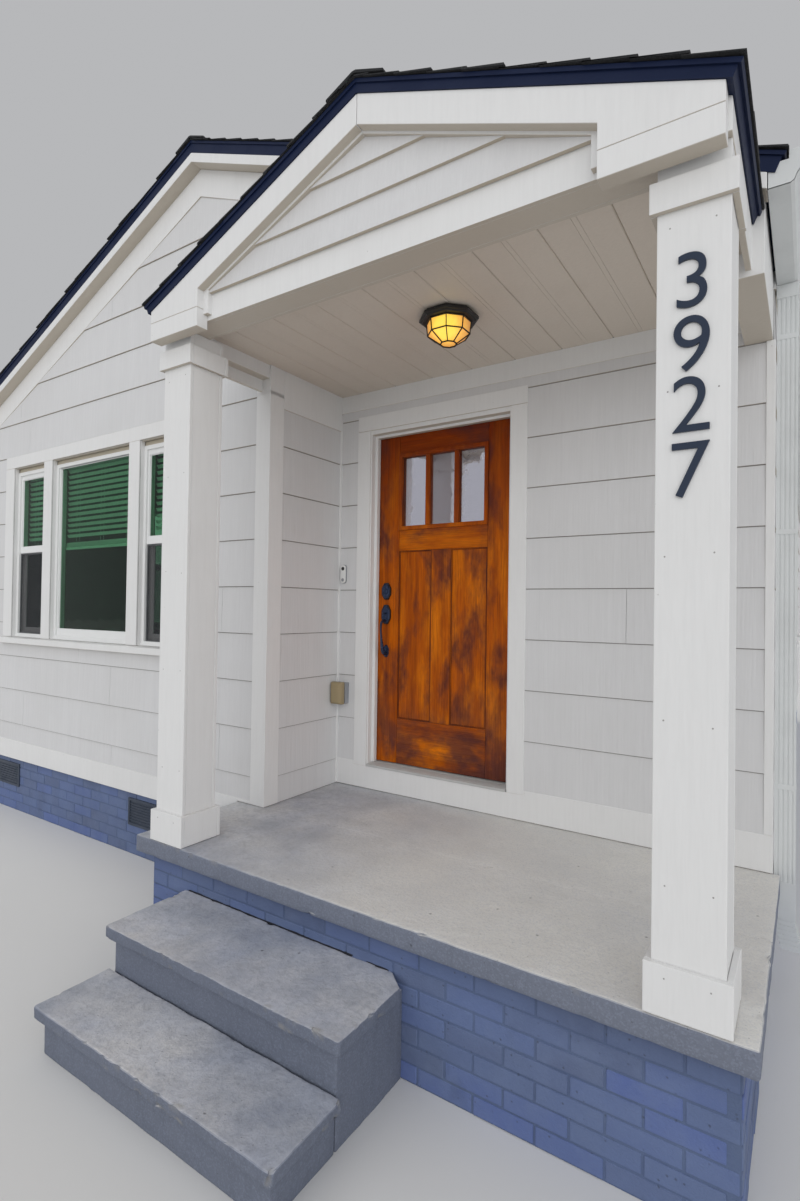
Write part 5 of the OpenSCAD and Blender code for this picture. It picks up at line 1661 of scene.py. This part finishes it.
COVER_W, COVER_H, COVER_T, COVER_BASE = 0.084, 0.138, 0.099, 0.043
half_w, half_h = COVER_W / 2, COVER_H / 2
low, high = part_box("outlet_cover")
cover_frame = to_street(ENTRY_Y, CORNER_X + 0.0095 + half_w, (low.z + high.z) / 2 + 0.016)
cover = bmesh.new()
wall_block(cover, cover_frame, (-half_w, COVER_BASE + 0.007, -half_h), (half_w, COVER_T, half_h))
lid_face = ENTRY_Y - COVER_T
round_edges(cover, 0.022, 4, [
    e for e in cover.edges if all(abs(v.co.y - lid_face) < 0.001 for v in e.verts)])
round_edges(cover, 0.004, 2)
for z in (-0.03, 0.03):
    wall_block(cover, cover_frame, (0.012 - half_w, COVER_T - 0.001, z - 0.0015),
               (half_w - 0.012, COVER_T + 0.0008, z + 0.0015))
piece("outlet_lid", cover, TAN_PLASTIC, replaces=("outlet_cover",), smooth=True)
plate = bmesh.new()
wall_block(plate, cover_frame, (0.002 - half_w, 0.004, 0.004 - half_h),
           (half_w - 0.0005, COVER_BASE, half_h - 0.006))
wall_block(plate, cover_frame, (-0.012, 0.01, -half_h - 0.002),
           (0.016, COVER_T - 0.030, 0.006 - half_h))
round_edges(plate, 0.002, 2)
wall_block(plate, cover_frame, (0.006 - half_w, COVER_BASE - 0.002, 0.012 - half_h),
           (half_w - 0.012, COVER_BASE + 0.009, half_h - 0.012))
piece("outlet_plate", plate, GREY_PLASTIC)

strip = bmesh.new()
block(strip, (CORNER_X - 0.001, ENTRY_Y - 0.020, SLAB_Z + 0.001),
      (CORNER_X + 0.0105, ENTRY_Y + 0.001, CEILING_Z - 0.12))
round_edges(strip, 0.0025, 2)
piece("inside_corner_strip", strip, TRIM)


# Camera, light and stage

# Camera of the photograph, in degrees: turned left, tipped up and leaning, and its focal length
CAMERA_AT, YAW, PITCH, ROLL = (3.155, -6.3965, 1.652), 33.33, 0.792, 0.828
SENSOR, LENS = 36, 622.0 / 1201 * 36
camera = bpy.data.objects.new("camera", bpy.data.cameras.new("camera"))
scene.collection.objects.link(camera)
camera.data.sensor_width, camera.data.lens, camera.data.clip_end = SENSOR, LENS, 300
camera.matrix_world = (Matrix.Translation(CAMERA_AT) @ Matrix.Rotation(math.radians(YAW), 4, "Z")
                       @ Matrix.Rotation(math.radians(90 + PITCH), 4, "X")
                       @ Matrix.Rotation(math.radians(ROLL), 4, "Z"))
scene.camera = camera

floor = bmesh.new()
block(floor, (-60, -60, -0.05), (60, 60, -0.0005))
floor_mesh = bpy.data.meshes.new("studio_floor")
floor.to_mesh(floor_mesh)
floor.free()
floor_mesh.materials.append(Finish("studio_floor", (0.76, 0.755, 0.745), 0.9).done())
studio_floor = bpy.data.objects.new("studio_floor", floor_mesh)
scene.collection.objects.link(studio_floor)
studio_floor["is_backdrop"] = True

world = bpy.data.worlds.new("studio")
world.use_nodes = True
scene.world = world
background = world.node_tree.nodes["Background"]
background.inputs["Color"].default_value = (0.965, 0.975, 1.0, 1)
background.inputs["Strength"].default_value = 0.49


def lamp(name, direction, spread, strength):
    """Very wide, soft lamp that lights everything evenly from one direction."""
    made = bpy.data.objects.new(name, bpy.data.lights.new(name, "SUN"))
    made.data.angle = math.radians(spread)
    made.data.energy = strength
    made.rotation_euler = Vector(direction).to_track_quat("Z", "Y").to_euler()
    made.visible_glossy = False
    scene.collection.objects.link(made)


lamp("key", (2, -14, 3.0), 40, 0.60)
lamp("fill", (11, -7, 3), 60, 0.92)
lamp("top", (-3, -6, 14), 60, 0.42)
lamp("rear", (-4, 12, 8), 60, 0.65)

scene.view_settings.view_transform = "Standard"

low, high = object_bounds()
